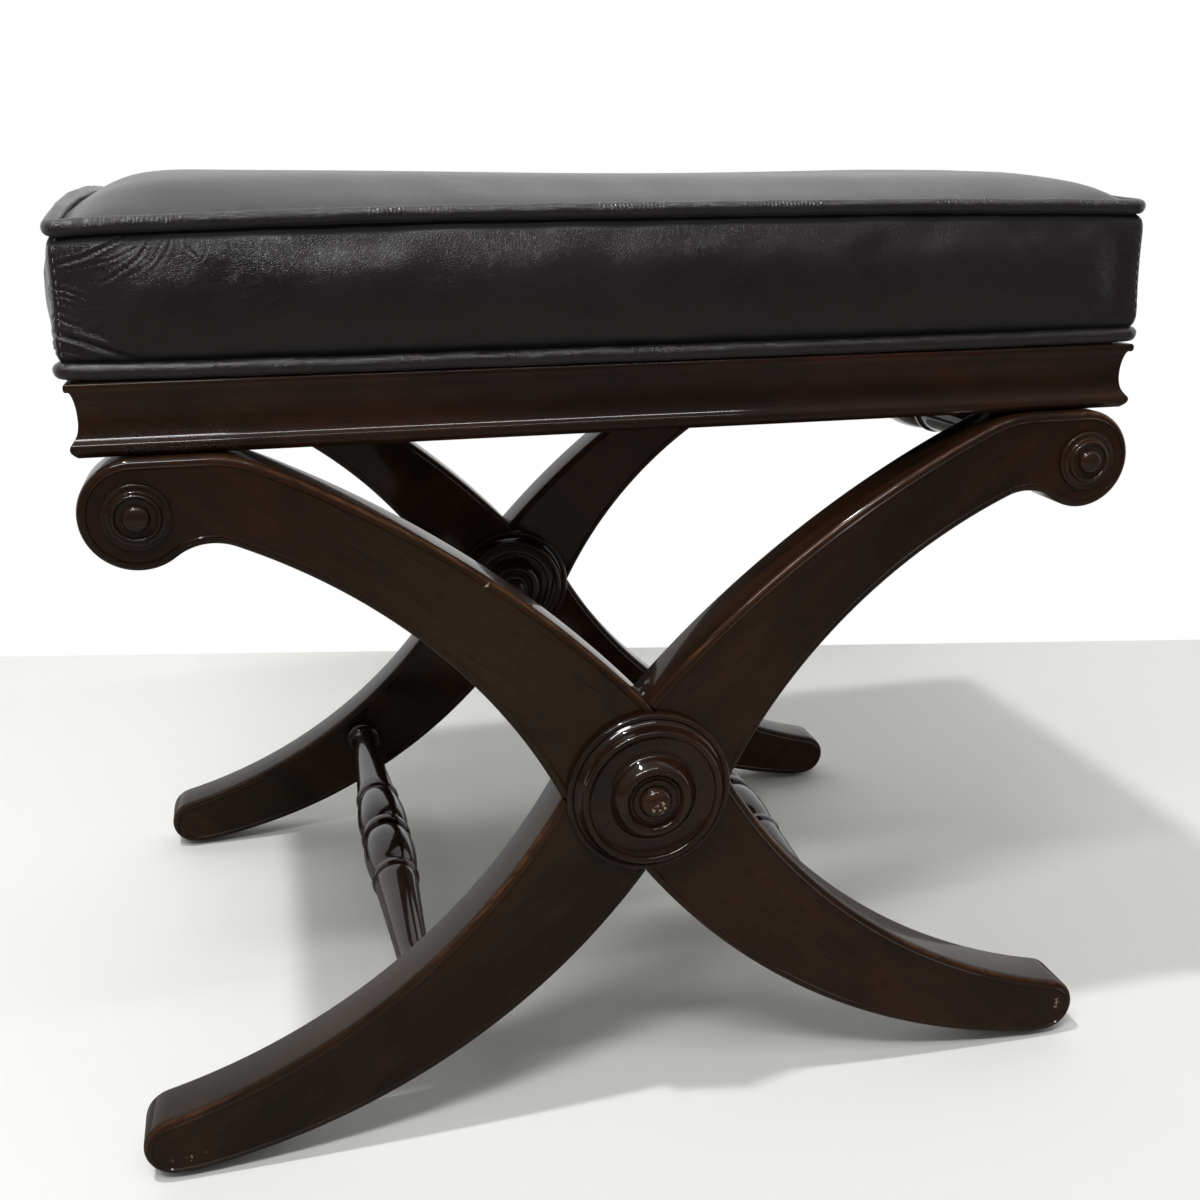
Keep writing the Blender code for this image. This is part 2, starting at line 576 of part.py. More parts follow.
def stretcher_mesh():
    """A turned rail, the same on both sides of its middle bead, with a round tenon at each end."""
    half = FRAME_FACE - LEG_THICKNESS - FIT_GAP
    shares = [(-along, radius) for along, radius in reversed(STRETCHER_SHARES[1:])]
    turned = [(STRETCHER_RADIUS * r, half * along) for along, r in shares + STRETCHER_SHARES]
    reach = half + FIT_GAP + TENON_LENGTH
    tenon = [(TENON_RADIUS, half), (TENON_RADIUS, reach), (0, reach)]
    other_tenon = [(radius, -along) for radius, along in reversed(tenon)]
    return turned_mesh("stretcher", other_tenon + turned + tenon, STRETCHER_SIDES)


def add_stretchers(looks):
    stretcher = stretcher_mesh()
    for level, half_span, height in (
        ("upper", UPPER_STRETCHER_HALF_SPAN, UPPER_STRETCHER_HEIGHT),
        ("lower", LOWER_STRETCHER_HALF_SPAN, lower_stretcher_height()),
    ):
        for side, sign in (("left", -1), ("right", 1)):
            place = (sign * half_span, 0, height)
            name = f"{level}_stretcher_{side}"
            add_piece(name, stretcher, looks["turned wood"], place, (pi / 2, 0, 0))


def add_glides(looks):
    """A round glide nailed under each toe."""
    head = GLIDE_HEIGHT - FIT_GAP
    nail_end = head + GLIDE_NAIL_LENGTH
    profile = [
        (0, 0),
        (GLIDE_RADIUS - head / 2, 0),
        (GLIDE_RADIUS, head / 2),
        (GLIDE_RADIUS, head),
        (GLIDE_NAIL_RADIUS, head),
        (GLIDE_NAIL_RADIUS, nail_end),
        (0, nail_end),
    ]
    glide = turned_mesh("glide", profile, DOWEL_SIDES)
    for where, facing in (("front", -1), ("rear", 1)):
        for side, sign in (("left", -1), ("right", 1)):
            place = (sign * GLIDE_HALF_SPAN, facing * (FRAME_FACE - LEG_THICKNESS / 2), 0)
            add_piece(f"{where}_glide_{side}", glide, looks["glide"], place)


# Apron
def rail_mesh(half_length, half_depth):
    """The rail on the -Y side, its length along X, with mitred ends."""
    section = [(COVE_DEPTH * inwards, APRON_HEIGHT * up) for inwards, up in APRON_SHARES]
    section += [(RAIL_THICKNESS, 0), (RAIL_THICKNESS, APRON_HEIGHT)]
    rings = []
    for end in (-1, 1):
        ring = []
        for inset, up in section:
            reach = half_length - inset - FIT_GAP / 2
            ring.append((end * reach, -(half_depth - inset), APRON_BOTTOM + up))
        rings.append(ring)
    return loft_mesh("rail", rings, smooth_angle=pi / 6)


def add_apron(looks):
    """Four mitred rails. Dowels in the scroll tops hold the front one and the rear one."""
    reach = FRAME_FACE - LEG_THICKNESS / 2
    bottom, top = FRAME_HEIGHT - SCROLL_DOWEL_LENGTH / 2, FRAME_HEIGHT + SCROLL_DOWEL_LENGTH / 2
    profile = [(0, bottom), (SCROLL_DOWEL_RADIUS, bottom), (SCROLL_DOWEL_RADIUS, top), (0, top)]
    bore_radius = SCROLL_DOWEL_RADIUS + FIT_GAP
    for where, turn, facing in (("front", 0, -1), ("rear", pi, 1)):
        mesh = rail_mesh(APRON_HALF_WIDTH, APRON_HALF_DEPTH)
        rail = add_piece(f"apron_rail_{where}", mesh, looks["apron wood"], turn=(0, 0, turn))
        bores = []
        for side, sign in (("left", -1), ("right", 1)):
            x, y = sign * SCROLL_DOWEL_HALF_SPAN, facing * reach
            dowel = turned_mesh("scroll dowel", profile, DOWEL_SIDES)
            add_piece(f"{where}_scroll_dowel_{side}", dowel, looks["pale wood"], (x, y, 0))
            bores.append((bore_radius, (x, y, APRON_BOTTOM - CUT_OVERRUN), (x, y, top + FIT_GAP)))
        name = f"apron_{where}_bores"
        cut(rail, add_cutter(name, drill_mesh(name, bores)))
    for where, turn in (("left", -pi / 2), ("right", pi / 2)):
        mesh = rail_mesh(APRON_HALF_DEPTH, APRON_HALF_WIDTH)
        add_piece(f"apron_rail_{where}", mesh, looks["apron wood"], turn=(0, 0, turn))


def corner_block_mesh(sign_x, sign_y):
    """A three-cornered block with blunt tips, glued into a corner of the rails."""
    corner_x, corner_y = RAIL_INSIDE_X - FIT_GAP, RAIL_INSIDE_Y - FIT_GAP
    outline = [
        (corner_x, corner_y),
        (corner_x - BLOCK_LEG, corner_y),
        (corner_x - BLOCK_LEG, corner_y - BLOCK_TIP),
        (corner_x - BLOCK_TIP, corner_y - BLOCK_LEG),
        (corner_x, corner_y - BLOCK_LEG),
    ]
    outline = [(sign_x * x, sign_y * y) for x, y in outline]
    return slab_mesh("corner block", outline, BLOCK_BOTTOM, BLOCK_TOP)


def screw_mesh():
    """A pan-head screw, point up, from the underside of its head."""
    profile = [
        (0, -SCREW_HEAD_HEIGHT),
        (SCREW_HEAD_RADIUS * SCREW_HEAD_FLAT_SHARE, -SCREW_HEAD_HEIGHT),
        (SCREW_HEAD_RADIUS, -SCREW_HEAD_HEIGHT / 2),
        (SCREW_HEAD_RADIUS, 0),
        (SCREW_RADIUS, 0),
        (SCREW_RADIUS, SCREW_LENGTH - SCREW_RADIUS),
        (0, SCREW_LENGTH),
    ]
    return turned_mesh("screw", profile, SCREW_SIDES)


def screw_bores(bottom, top):
    places = [(x, y) for x in (-SCREW_X, SCREW_X) for y in (-SCREW_Y, SCREW_Y)]
    return [(SCREW_RADIUS + FIT_GAP, (x, y, bottom), (x, y, top)) for x, y in places]


def add_corner_blocks(looks):
    """Blocks in the corners of the apron, each with a screw up into the seat board."""
    bores = screw_bores(BLOCK_BOTTOM - CUT_OVERRUN, BLOCK_TOP + CUT_OVERRUN)
    cutter = add_cutter("block_bores", drill_mesh("block_bores", bores))
    for where, sign_y in (("front", -1), ("rear", 1)):
        for side, sign_x in (("left", -1), ("right", 1)):
            mesh = corner_block_mesh(sign_x, sign_y)
            block = add_piece(f"corner_block_{where}_{side}", mesh, looks["pale wood"])
            cut(block, cutter)
            place = (sign_x * SCREW_X, sign_y * SCREW_Y, BLOCK_BOTTOM - FIT_GAP)
            add_piece(f"seat_screw_{where}_{side}", screw_mesh(), looks["steel"], place)


# Cushion
def rounded_plan(half_x, half_y, radius, side_steps=1):
    """A rectangle with round corners, as (x, y) points, anticlockwise from the +X side."""
    points = []
    for corner, (sign_x, sign_y) in enumerate(((1, 1), (-1, 1), (-1, -1), (1, -1))):
        centre = Vector((sign_x * (half_x - radius), sign_y * (half_y - radius)))
        for step in range(WELT_CORNER_STEPS + 1):
            angle = (corner + step / WELT_CORNER_STEPS) * pi / 2
            points.append(centre + radius * Vector((cos(angle), sin(angle))))
    filled = []
    for index, point in enumerate(points):
        filled.append(point)
        if index % (WELT_CORNER_STEPS + 1) == WELT_CORNER_STEPS:
            after = points[(index + 1) % len(points)]
            filled += [point.lerp(after, step / side_steps) for step in range(1, side_steps)]
    return [tuple(point) for point in filled]


def arch(share_x, share_y):
    """How far the top seam, and the top with it, rises between the corners."""
    return SEAM_ARCH * (1 - abs(share_x * share_y) ** ARCH_POWER)


def welt_mesh(name, half_x, half_y, height, radius, side_steps, arched):
    """A cord round the cushion, with round corners, level or arched along each side."""
    work = bmesh.new()
    rings = []
    for side in range(WELT_SIDES):
        angle = 2 * pi * side / WELT_SIDES
        out, up = radius * cos(angle), radius * sin(angle)
        reach_x, reach_y = half_x + out, half_y + out
        plan = rounded_plan(reach_x, reach_y, WELT_CORNER_RADIUS + out, side_steps)
        ring = []
        for x, y in plan:
            rise = arch(x / reach_x, y / reach_y) if arched else 0
            ring.append(work.verts.new((x, y, height + up + rise)))
        rings.append(ring)
    for index, ring in enumerate(rings):
        bridge(work, ring, rings[(index + 1) % WELT_SIDES])
    return mesh_from(name, work, smooth_angle=pi / 3)


def spread(steps):
    """Shares from -1 to 1, closer to one another near both ends."""
    return [sin(pi / 2 * (2 * step / steps - 1)) for step in range(steps + 1)]


def drawn_in(share):
    return CORNER_DRAW * abs(share) ** DRAW_POWER


def bulge(share_along, share_up):
    return BAND_BULGE * (1 - abs(share_along) ** DRAW_POWER) * sin(pi * share_up)


def crown(share_x, share_y):
    return (1 - abs(share_x) ** CROWN_POWER) * (1 - abs(share_y) ** CROWN_POWER)


def cushion_grid(half_x, half_y, corner_height, share_up, rise=0):
    """Rows of points over the cushion, with drawn-in corners, bulging sides, arch and crown."""
    rows = []
    for v in spread(CUSHION_STEPS_Y):
        row = []
        for u in spread(CUSHION_STEPS_X):
            x = u * (half_x - drawn_in(v) + bulge(v, share_up))
            y = v * (half_y - drawn_in(u) + bulge(u, share_up))
            row.append((x, y, corner_height + arch(u, v) * share_up + rise * crown(u, v)))
        rows.append(row)
    return rows


def border(rows):
    """The points round a grid, in order."""
    left, right = [row[0] for row in rows], [row[-1] for row in rows]
    return rows[0][:-1] + right[:-1] + rows[-1][:0:-1] + left[:0:-1]


def add_grid(work, rows):
    """Adds a grid of triangles, split towards the middle, and returns its rows of vertices."""
    made = [[work.verts.new(point) for point in row] for row in rows]
    for up in range(len(rows) - 1):
        for along in range(len(rows[0]) - 1):
            near, far = made[up][along : along + 2], made[up + 1][along : along + 2]
            loop = [near[0], near[1], far[1], far[0]]
            if (2 * up < len(rows) - 1) != (2 * along < len(rows[0]) - 1):
                loop = loop[1:] + loop[:1]
            work.faces.new(loop[:3])
            work.faces.new((loop[0], loop[2], loop[3]))
    return made


def sheet_mesh(name, rows, other_rows):
    """A closed sheet between two grids of as many points."""
    work = bmesh.new()
    bridge(work, border(add_grid(work, rows)), border(add_grid(work, other_rows)))
    return mesh_from(name, work, smooth_angle=pi / 4)


def band_reach(share_up, inset):
    """Half the width and half the depth inside the strips at a share of their height."""
    x = BOTTOM_WELT_X + (TOP_WELT_X - BOTTOM_WELT_X) * share_up
    y = BOTTOM_WELT_Y + (TOP_WELT_Y - BOTTOM_WELT_Y) * share_up
    return x + BAND_OVERHANG - inset, y + BAND_OVERHANG - inset


def band_mesh(steps, across):
    """The strip on the -Y side, or on the +X side when across is true."""
    grids = []
    for inset in (0, LEATHER_THICKNESS):
        rows = []
        for step in range(CUSHION_STEPS_UP + 1):
            up = step / CUSHION_STEPS_UP
            x, y = band_reach(up, inset)
            along, out = (y, x) if across else (x, y)
            row = []
            for u in spread(steps):
                reach = out - drawn_in(u) + bulge(u, up)
                height = BAND_BOTTOM + (BAND_TOP - BAND_BOTTOM + arch(u, 1)) * up
                run = u * (along - CORNER_DRAW - FIT_GAP)
                row.append((reach, run, height) if across else (run, -reach, height))
            rows.append(row)
        grids.append(rows)
    return sheet_mesh("band", *grids)


def foam_mesh():
    """The filling: a crown under the top, shoulders under the welt and bulging sides."""
    inset = LEATHER_THICKNESS + FOAM_SLACK
    reach_x, reach_y = PANEL_X - FOAM_SLACK, PANEL_Y - FOAM_SLACK
    top = cushion_grid(reach_x, reach_y, PANEL_UNDERSIDE - FOAM_SLACK, 1, CROWN_HEIGHT)
    work = bmesh.new()
    loop = border(add_grid(work, top))
    for step in range(CUSHION_STEPS_UP, -1, -1):
        up = step / CUSHION_STEPS_UP
        height = max(BAND_BOTTOM + (BAND_TOP - BAND_BOTTOM) * up, FOAM_BOTTOM)
        ring = border(cushion_grid(*band_reach(up, inset), height, up))
        ring = [work.verts.new(point) for point in ring]
        bridge(work, loop, ring)
        loop = ring
    work.faces.new(loop)
    return mesh_from("foam", work, smooth_angle=pi / 4)


def add_seat_board(looks):
    """A plywood board on the rails and a cloth dust cover under it, between the rails."""
    plan = rounded_plan(BOARD_X, BOARD_Y, BOARD_CORNER)
    board = add_piece(
        "seat_board", slab_mesh("seat board", plan, BOARD_BOTTOM, BOARD_TOP), looks["plywood"]
    )
    half_x, half_y = RAIL_INSIDE_X - FIT_GAP, RAIL_INSIDE_Y - FIT_GAP
    plan = [(half_x, half_y), (-half_x, half_y), (-half_x, -half_y), (half_x, -half_y)]
    cover_top = DUST_COVER_BOTTOM + DUST_COVER_THICKNESS
    cover_mesh = slab_mesh("dust cover", plan, DUST_COVER_BOTTOM, cover_top)
    cover = add_piece("dust_cover", cover_mesh, looks["cambric"])
    bores = screw_bores(DUST_COVER_BOTTOM - CUT_OVERRUN, BLOCK_BOTTOM + SCREW_LENGTH)
    cutter = add_cutter("board_bores", drill_mesh("board_bores", bores))
    cut(board, cutter)
    cut(cover, cutter)


def add_cushion(looks):
    """Foam under a crowned leather top, four strips round it and a welt along each edge."""
    add_piece("seat_foam", foam_mesh(), looks["foam"])
    under = cushion_grid(PANEL_X, PANEL_Y, PANEL_UNDERSIDE, 1, CROWN_HEIGHT)
    over = cushion_grid(PANEL_X, PANEL_Y, PANEL_UNDERSIDE + LEATHER_THICKNESS, 1, CROWN_HEIGHT)
    add_piece("leather_top", sheet_mesh("leather top", under, over), looks["leather"])
    for where, across, turn in (
        ("front", False, 0),
        ("rear", False, pi),
        ("right", True, 0),
        ("left", True, pi),
    ):
        steps = CUSHION_STEPS_Y if across else CUSHION_STEPS_X
        mesh = band_mesh(steps, across)
        add_piece(f"leather_band_{where}", mesh, looks["leather"], turn=(0, 0, turn))
    sizes = (TOP_WELT_X, TOP_WELT_Y, TOP_WELT_HEIGHT, TOP_WELT_RADIUS)
    mesh = welt_mesh("top welt", *sizes, TOP_WELT_STEPS, True)
    add_piece("welt_top", mesh, looks["welt leather"])
    sizes = (BOTTOM_WELT_X, BOTTOM_WELT_Y, BOTTOM_WELT_HEIGHT, BOTTOM_WELT_RADIUS)
    add_piece("welt_bottom", welt_mesh("bottom welt", *sizes, 1, False), looks["welt leather"])


def clear_scene():
    for item in list(bpy.data.objects):
        bpy.data.objects.remove(item, do_unlink=True)


clear_scene()
LOOKS = finishes()
add_end_frames(LOOKS)
add_bosses(LOOKS)
add_rosettes(LOOKS)
add_stretchers(LOOKS)
add_glides(LOOKS)
add_apron(LOOKS)
add_corner_blocks(LOOKS)
add_seat_board(LOOKS)
add_cushion(LOOKS)
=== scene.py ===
"""Looks of an x-leg ottoman: two X-shaped end frames of dark mahogany, turned stretchers between
them, a coved apron on the scroll tops and a boxed cushion in aubergine-brown leather.

Metres, +Z up, front towards -Y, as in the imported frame.
"""

from math import cos, exp, pi, radians, sin, sqrt

import bmesh
import bpy
import numpy as np
from mathutils import Matrix, Vector, noise


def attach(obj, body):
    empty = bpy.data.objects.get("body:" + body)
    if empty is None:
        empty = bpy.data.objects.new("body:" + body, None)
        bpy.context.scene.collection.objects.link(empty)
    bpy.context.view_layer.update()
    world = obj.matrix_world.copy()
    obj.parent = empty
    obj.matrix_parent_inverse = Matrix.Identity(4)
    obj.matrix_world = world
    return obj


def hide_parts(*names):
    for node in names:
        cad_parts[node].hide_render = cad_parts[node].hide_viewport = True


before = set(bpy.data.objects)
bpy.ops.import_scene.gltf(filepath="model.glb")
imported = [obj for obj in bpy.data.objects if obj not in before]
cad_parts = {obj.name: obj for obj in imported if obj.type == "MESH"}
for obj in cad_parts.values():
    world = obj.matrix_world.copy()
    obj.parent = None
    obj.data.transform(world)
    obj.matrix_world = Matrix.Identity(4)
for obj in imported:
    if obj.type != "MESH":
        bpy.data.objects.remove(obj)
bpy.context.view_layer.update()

# Camera: a look down at the front, from the height of the cushion's top and a little left of
# the middle. The last turn is the slight roll of a picture taken by hand.
camera_place, camera_swing, camera_dip = (-0.1936, -0.8789, 0.5277), -0.2472, 0.3044
camera_roll, focal_length, sensor_width = -0.0034, 41.44, 36
camera_data = bpy.data.cameras.new("camera")
camera_data.sensor_width, camera_data.lens = sensor_width, focal_length
camera = bpy.data.objects.new("camera", camera_data)
bpy.context.collection.objects.link(camera)
aim = Matrix.Rotation(camera_swing, 4, "Z") @ Matrix.Rotation(pi / 2 - camera_dip, 4, "X")
camera.matrix_world = Matrix.Translation(camera_place) @ aim @ Matrix.Rotation(camera_roll, 4, "Z")
bpy.context.scene.camera = camera
bpy.context.scene.view_settings.view_transform = "Standard"

# Floor and wall of a plain studio. Both are drawn on one side only, so that a camera behind the
# wall or below the floor sees through them. The wall stands out white behind the object.
stage_size, wall_place, wall_turn = 14, (0.172, 0.571, 7.0), -0.215
floor_colour, mirrored_floor_colour = (0.84, 0.84, 0.81), (0.26, 0.25, 0.23)
wall_colour = (0.88, 0.88, 0.88)


def plain_finish(name, colour, roughness):
    """A material of one colour, with its node tree and the inputs of its shader."""
    material = bpy.data.materials.new(name)
    material.use_nodes = True
    inputs = material.node_tree.nodes["Principled BSDF"].inputs
    inputs["Base Color"].default_value = (*colour, 1)
    inputs["Roughness"].default_value = roughness
    return material, material.node_tree, inputs


def add_node(tree, kind, links=(), **settings):
    """Adds a node, sets it and links it: links are (its input, a socket or a value)."""
    node = tree.nodes.new(kind)
    for key, value in settings.items():
        setattr(node, key, value)
    for key, source in links:
        if isinstance(source, bpy.types.NodeSocket):
            tree.links.new(source, node.inputs[key])
        else:
            node.inputs[key].default_value = source
    return node


def math_of(tree, operation, first, second):
    links = [(0, first), (1, second)]
    return add_node(tree, "ShaderNodeMath", links, operation=operation).outputs["Value"]


def blended(tree, share, first, second, mode="MIX"):
    node = add_node(tree, "ShaderNodeMix", data_type="RGBA", blend_type=mode)
    for key, source in (("Factor", share), ("A", first), ("B", second)):
        socket = next(s for s in node.inputs if s.name == key and s.enabled)
        if isinstance(source, bpy.types.NodeSocket):
            tree.links.new(source, socket)
        else:
            socket.default_value = source if key == "Factor" else (*source, 1)
    return next(s for s in node.outputs if s.enabled)


def one_sided(tree, surface):
    clear = add_node(tree, "ShaderNodeBsdfTransparent").outputs["BSDF"]
    behind = add_node(tree, "ShaderNodeNewGeometry").outputs["Backfacing"]
    either = add_node(tree, "ShaderNodeMixShader", [(0, behind), (1, surface), (2, clear)])
    tree.links.new(either.outputs[0], tree.nodes["Material Output"].inputs["Surface"])


bpy.ops.mesh.primitive_plane_add(size=stage_size, location=(0, 0, 0))
floor = bpy.context.object
floor.name = "floor"
finish, tree, inputs = plain_finish("pale floor", floor_colour, 0.8)
# In reflections the floor is painted darker than it is, so the lacquer stays dark.
mirrored = add_node(tree, "ShaderNodeLightPath").outputs["Is Glossy Ray"]
floor_tint = blended(tree, mirrored, floor_colour, mirrored_floor_colour)
tree.links.new(floor_tint, inputs["Base Color"])
one_sided(tree, tree.nodes["Principled BSDF"].outputs["BSDF"])
floor.data.materials.append(finish)
bpy.ops.mesh.primitive_plane_add(
    size=stage_size, location=wall_place, rotation=(pi / 2, 0, wall_turn)
)
wall = bpy.context.object
wall.name = "wall"
finish, tree, inputs = plain_finish("white wall", wall_colour, 0.9)
rays = add_node(tree, "ShaderNodeLightPath").outputs
seen = math_of(tree, "MAXIMUM", rays["Is Camera Ray"], rays["Is Glossy Ray"])
seen = math_of(tree, "MAXIMUM", seen, rays["Is Transmission Ray"])
white = add_node(tree, "ShaderNodeEmission", [("Strength", 1.0)]).outputs["Emission"]
matt = tree.nodes["Principled BSDF"].outputs["BSDF"]
lit = add_node(tree, "ShaderNodeMixShader", [(0, seen), (1, matt), (2, white)])
one_sided(tree, lit.outputs[0])
wall.data.materials.append(finish)

# Lamps: a ceiling lamp high on the left, which throws the cushion's shadow to the right and
# back, a sloping strip in front and a tube overhead for the highlights, and a pale surround.
lamp_aim, dim_below, bright_above = (0, 0, 0.25), 0.10, 0.42


def ceiling_lamp(name, place, length, width, watts, roll=0):
    lamp_data = bpy.data.lights.new(name, "AREA")
    lamp_data.shape = "RECTANGLE"
    lamp_data.size, lamp_data.size_y = length, width
    lamp_data.energy = watts
    lamp = bpy.data.objects.new(name, lamp_data)
    bpy.context.collection.objects.link(lamp)
    aim = (Vector(lamp_aim) - Vector(place)).to_track_quat("-Z", "Y").to_matrix().to_4x4()
    lamp.matrix_world = Matrix.Translation(place) @ aim @ Matrix.Rotation(roll, 4, "Z")


ceiling_lamp("left lamp", (-0.72, -0.46, 2.5), 0.12, 0.12, 27)
ceiling_lamp("front lamp", (-0.72, -1.32, 2.05), 1.0, 0.14, 19, radians(20))
ceiling_lamp("ceiling tube", (0.1, -1.35, 2.5), 1.6, 0.04, 10)
surround = bpy.data.worlds.new("surround")
surround.use_nodes = True
tree = surround.node_tree
sky = add_node(tree, "ShaderNodeTexCoord").outputs["Generated"]
sky = add_node(tree, "ShaderNodeSeparateXYZ", [("Vector", sky)]).outputs["Z"]
links = [("Value", sky), ("To Min", dim_below), ("To Max", bright_above)]
sky = add_node(tree, "ShaderNodeMapRange", links).outputs["Result"]
tree.nodes["Background"].inputs["Color"].default_value = (1, 1, 1, 1)
tree.links.new(sky, tree.nodes["Background"].inputs["Strength"])
bpy.context.scene.world = surround

# Mahogany under dark lacquer, for all the show wood: fine straight grain with short pores, a
# patchy red-brown stain under the near-black toner, and edges where the toner is rubbed thin.
red_stain, pore_black = (0.030, 0.0085, 0.0045), (0.004, 0.003, 0.003)
bare_wood, grain_relief, coat_roughness = (0.20, 0.09, 0.04), 0.0003, 0.06


def new_group(name, takes, gives):
    """A node group and its own ends, with sockets given as pairs of a name and a kind."""
    group = bpy.data.node_groups.new(name, "ShaderNodeTree")
    for side, sockets in (("INPUT", takes), ("OUTPUT", gives)):
        for socket_name, kind in sockets.items():
            group.interface.new_socket(socket_name, in_out=side, socket_type=f"NodeSocket{kind}")
    return group, group.nodes.new("NodeGroupInput").outputs, group.nodes.new("NodeGroupOutput").inputs


def object_place(tree):
    return add_node(tree, "ShaderNodeTexCoord").outputs["Object"]


def stretched(tree, vector, scale, turn=(0, 0, 0), shift=0.0):
    links = [("Vector", vector), ("Scale", scale), ("Rotation", turn), ("Location", (shift,) * 3)]
    return add_node(tree, "ShaderNodeMapping", links).outputs["Vector"]


def noise_of(tree, vector, scale, detail=2.0, roughness=0.5):
    links = [("Vector", vector), ("Scale", scale), ("Detail", detail), ("Roughness", roughness)]
    return add_node(tree, "ShaderNodeTexNoise", links).outputs["Fac"]


def ranged(tree, value, low, high, to_low=0.0, to_high=1.0):
    links = [("Value", value), ("From Min", low), ("From Max", high)]
    links += [("To Min", to_low), ("To Max", to_high)]
    return add_node(tree, "ShaderNodeMapRange", links).outputs["Result"]


def bumped(tree, inputs, height, strength, depth):
    """Raises the surface by a height, on top of any bump that the shader already has."""
    links = [("Height", height), ("Strength", strength), ("Distance", depth)]
    links += [("Normal", link.from_socket) for link in inputs["Normal"].links]
    bump = add_node(tree, "ShaderNodeBump", links)
    tree.links.new(bump.outputs["Normal"], inputs["Normal"])


def mahogany_group():
    tree, taken, given = new_group(
        "stained mahogany",
        {"Place": "Vector", "Toner": "Color", "Stain": "Color", "Bare": "Color", "Rubbed": "Float"},
        {"Color": "Color", "Roughness": "Float", "Height": "Float"},
    )
    place = taken["Place"]
    streaks = noise_of(tree, stretched(tree, place, (5, 90, 90)), 1.0, 4.0, 0.6)
    pores = noise_of(tree, stretched(tree, place, (70, 1500, 1500)), 1.0, 1.0)
    patches = noise_of(tree, stretched(tree, place, (7, 13, 13)), 1.0, 3.0, 0.6)
    patches = math_of(tree, "MULTIPLY", ranged(tree, patches, 0.40, 0.60), 0.65)
    stain_share = math_of(tree, "MULTIPLY", ranged(tree, streaks, 0.30, 0.70, 0.0, 0.9), 0.35)
    stain_share = math_of(tree, "ADD", stain_share, patches)
    redness = ranged(tree, noise_of(tree, place, 5.0, 2.0), 0.42, 0.62, 0.0, 0.7)
    stain = blended(tree, redness, taken["Stain"], red_stain)
    colour = blended(tree, stain_share, taken["Toner"], stain)
    colour = blended(tree, ranged(tree, pores, 0.60, 0.70, 0.0, 0.6), colour, pore_black)
    # The toner is rubbed off in places, and there in streaks along the grain.
    rub_place = ranged(tree, noise_of(tree, place, 11.0, 2.0), 0.46, 0.62)
    rub_streaks = noise_of(tree, stretched(tree, place, (60, 500, 500)), 1.0, 3.0)
    rub_share = math_of(tree, "MULTIPLY", rub_place, ranged(tree, rub_streaks, 0.30, 0.65))
    rub_share = math_of(tree, "MULTIPLY", rub_share, taken["Rubbed"])
    smear = noise_of(tree, place, 26.0, 4.0, 0.6)
    relief = ranged(tree, math_of(tree, "ADD", streaks, pores), 0.6, 1.4)
    tree.links.new(blended(tree, rub_share, colour, taken["Bare"]), given["Color"])
    tree.links.new(ranged(tree, smear, 0.3, 0.7, 0.25, 0.40), given["Roughness"])
    tree.links.new(relief, given["Height"])
    return tree


mahogany = mahogany_group()


def lacquered_wood(
    name, toner, stain, bare, gloss, grain_turn=(0, 0, 0), grain_shift=0.0, blemishes=()
):
    """Mahogany whose grain runs along X, turned and shifted for the piece that it is cut for.

    A blemish is a place, its reach, the fineness of its specks and its colour.
    """
    finish, tree, inputs = plain_finish(name, toner, 0.3)
    inputs["Specular IOR Level"].default_value = 0.03
    inputs["Coat Weight"].default_value = gloss
    inputs["Coat Roughness"].default_value = coat_roughness
    place = object_place(tree)
    rubbed = add_node(tree, "ShaderNodeAttribute", attribute_name="rubbed").outputs["Fac"]
    links = [("Place", stretched(tree, place, (1, 1, 1), grain_turn, grain_shift)), ("Rubbed", rubbed)]
    links += [("Toner", (*toner, 1)), ("Stain", (*stain, 1)), ("Bare", (*bare, 1))]
    wood = add_node(tree, "ShaderNodeGroup", links, node_tree=mahogany).outputs
    colour = wood["Color"]
    for spot, reach, fineness, tint in blemishes:
        away = add_node(tree, "ShaderNodeVectorMath", [(0, place), (1, spot)], operation="DISTANCE")
        near = ranged(tree, away.outputs["Value"], reach * 0.5, reach, 1.0, 0.0)
        specks = ranged(tree, noise_of(tree, place, fineness, 3.0, 0.6), 0.56, 0.62)
        colour = blended(tree, math_of(tree, "MULTIPLY", near, specks), colour, tint)
    tree.links.new(colour, inputs["Base Color"])
    tree.links.new(wood["Roughness"], inputs["Roughness"])
    bumped(tree, inputs, wood["Height"], 0.12, grain_relief)
    return finish


# Crossing members of the two X-frames: each is sawn from one board 32 mm thick to a double
# curve, ending in a round scroll above and a rounded toe below. A bead and a quirk are worked
# along both edges, and the two members of a frame are let into each other with a half lap.
board_thickness, front_face, half_lap = 0.032, -0.217, -0.201
edge_bead, quirk_half, quirk_depth = 0.0036, 0.0006, 0.0008
notch_top, crossing_height, notch_bottom, crossing_half = 0.253, 0.2025, 0.152, 0.0476
lap_width, lap_overrun, grain_slope = 0.0003, 0.004, radians(38)
# The outline from the top notch, clockwise: centre X and Z and sweep in degrees of each arc,
# with its steps, or the X and Z run of a straight
member_outline = [
    (0.44943, -0.15945, -22.452, 40),
    (0.21694, 0.33900, -25.005, 8),
    (0.03306, 0.0),
    (0.25000, 0.37200, -216.806, 60),
    (0.21705, 0.32796, 60.433, 18),
    (0.33368, 0.06136, 40.112, 36),
    (-0.04760, -0.0505),
    (-0.30274, 0.37834, -45.808, 48),
    (-0.00970, 0.0),
    (-0.26370, 0.02100, -165.972, 32),
    (-0.35424, 0.38336, 45.439, 48),
]
member_toner, member_stain = (0.0080, 0.0046, 0.0022), (0.0300, 0.0148, 0.0062)
member_bare, member_gloss = (0.15, 0.060, 0.026), 0.42
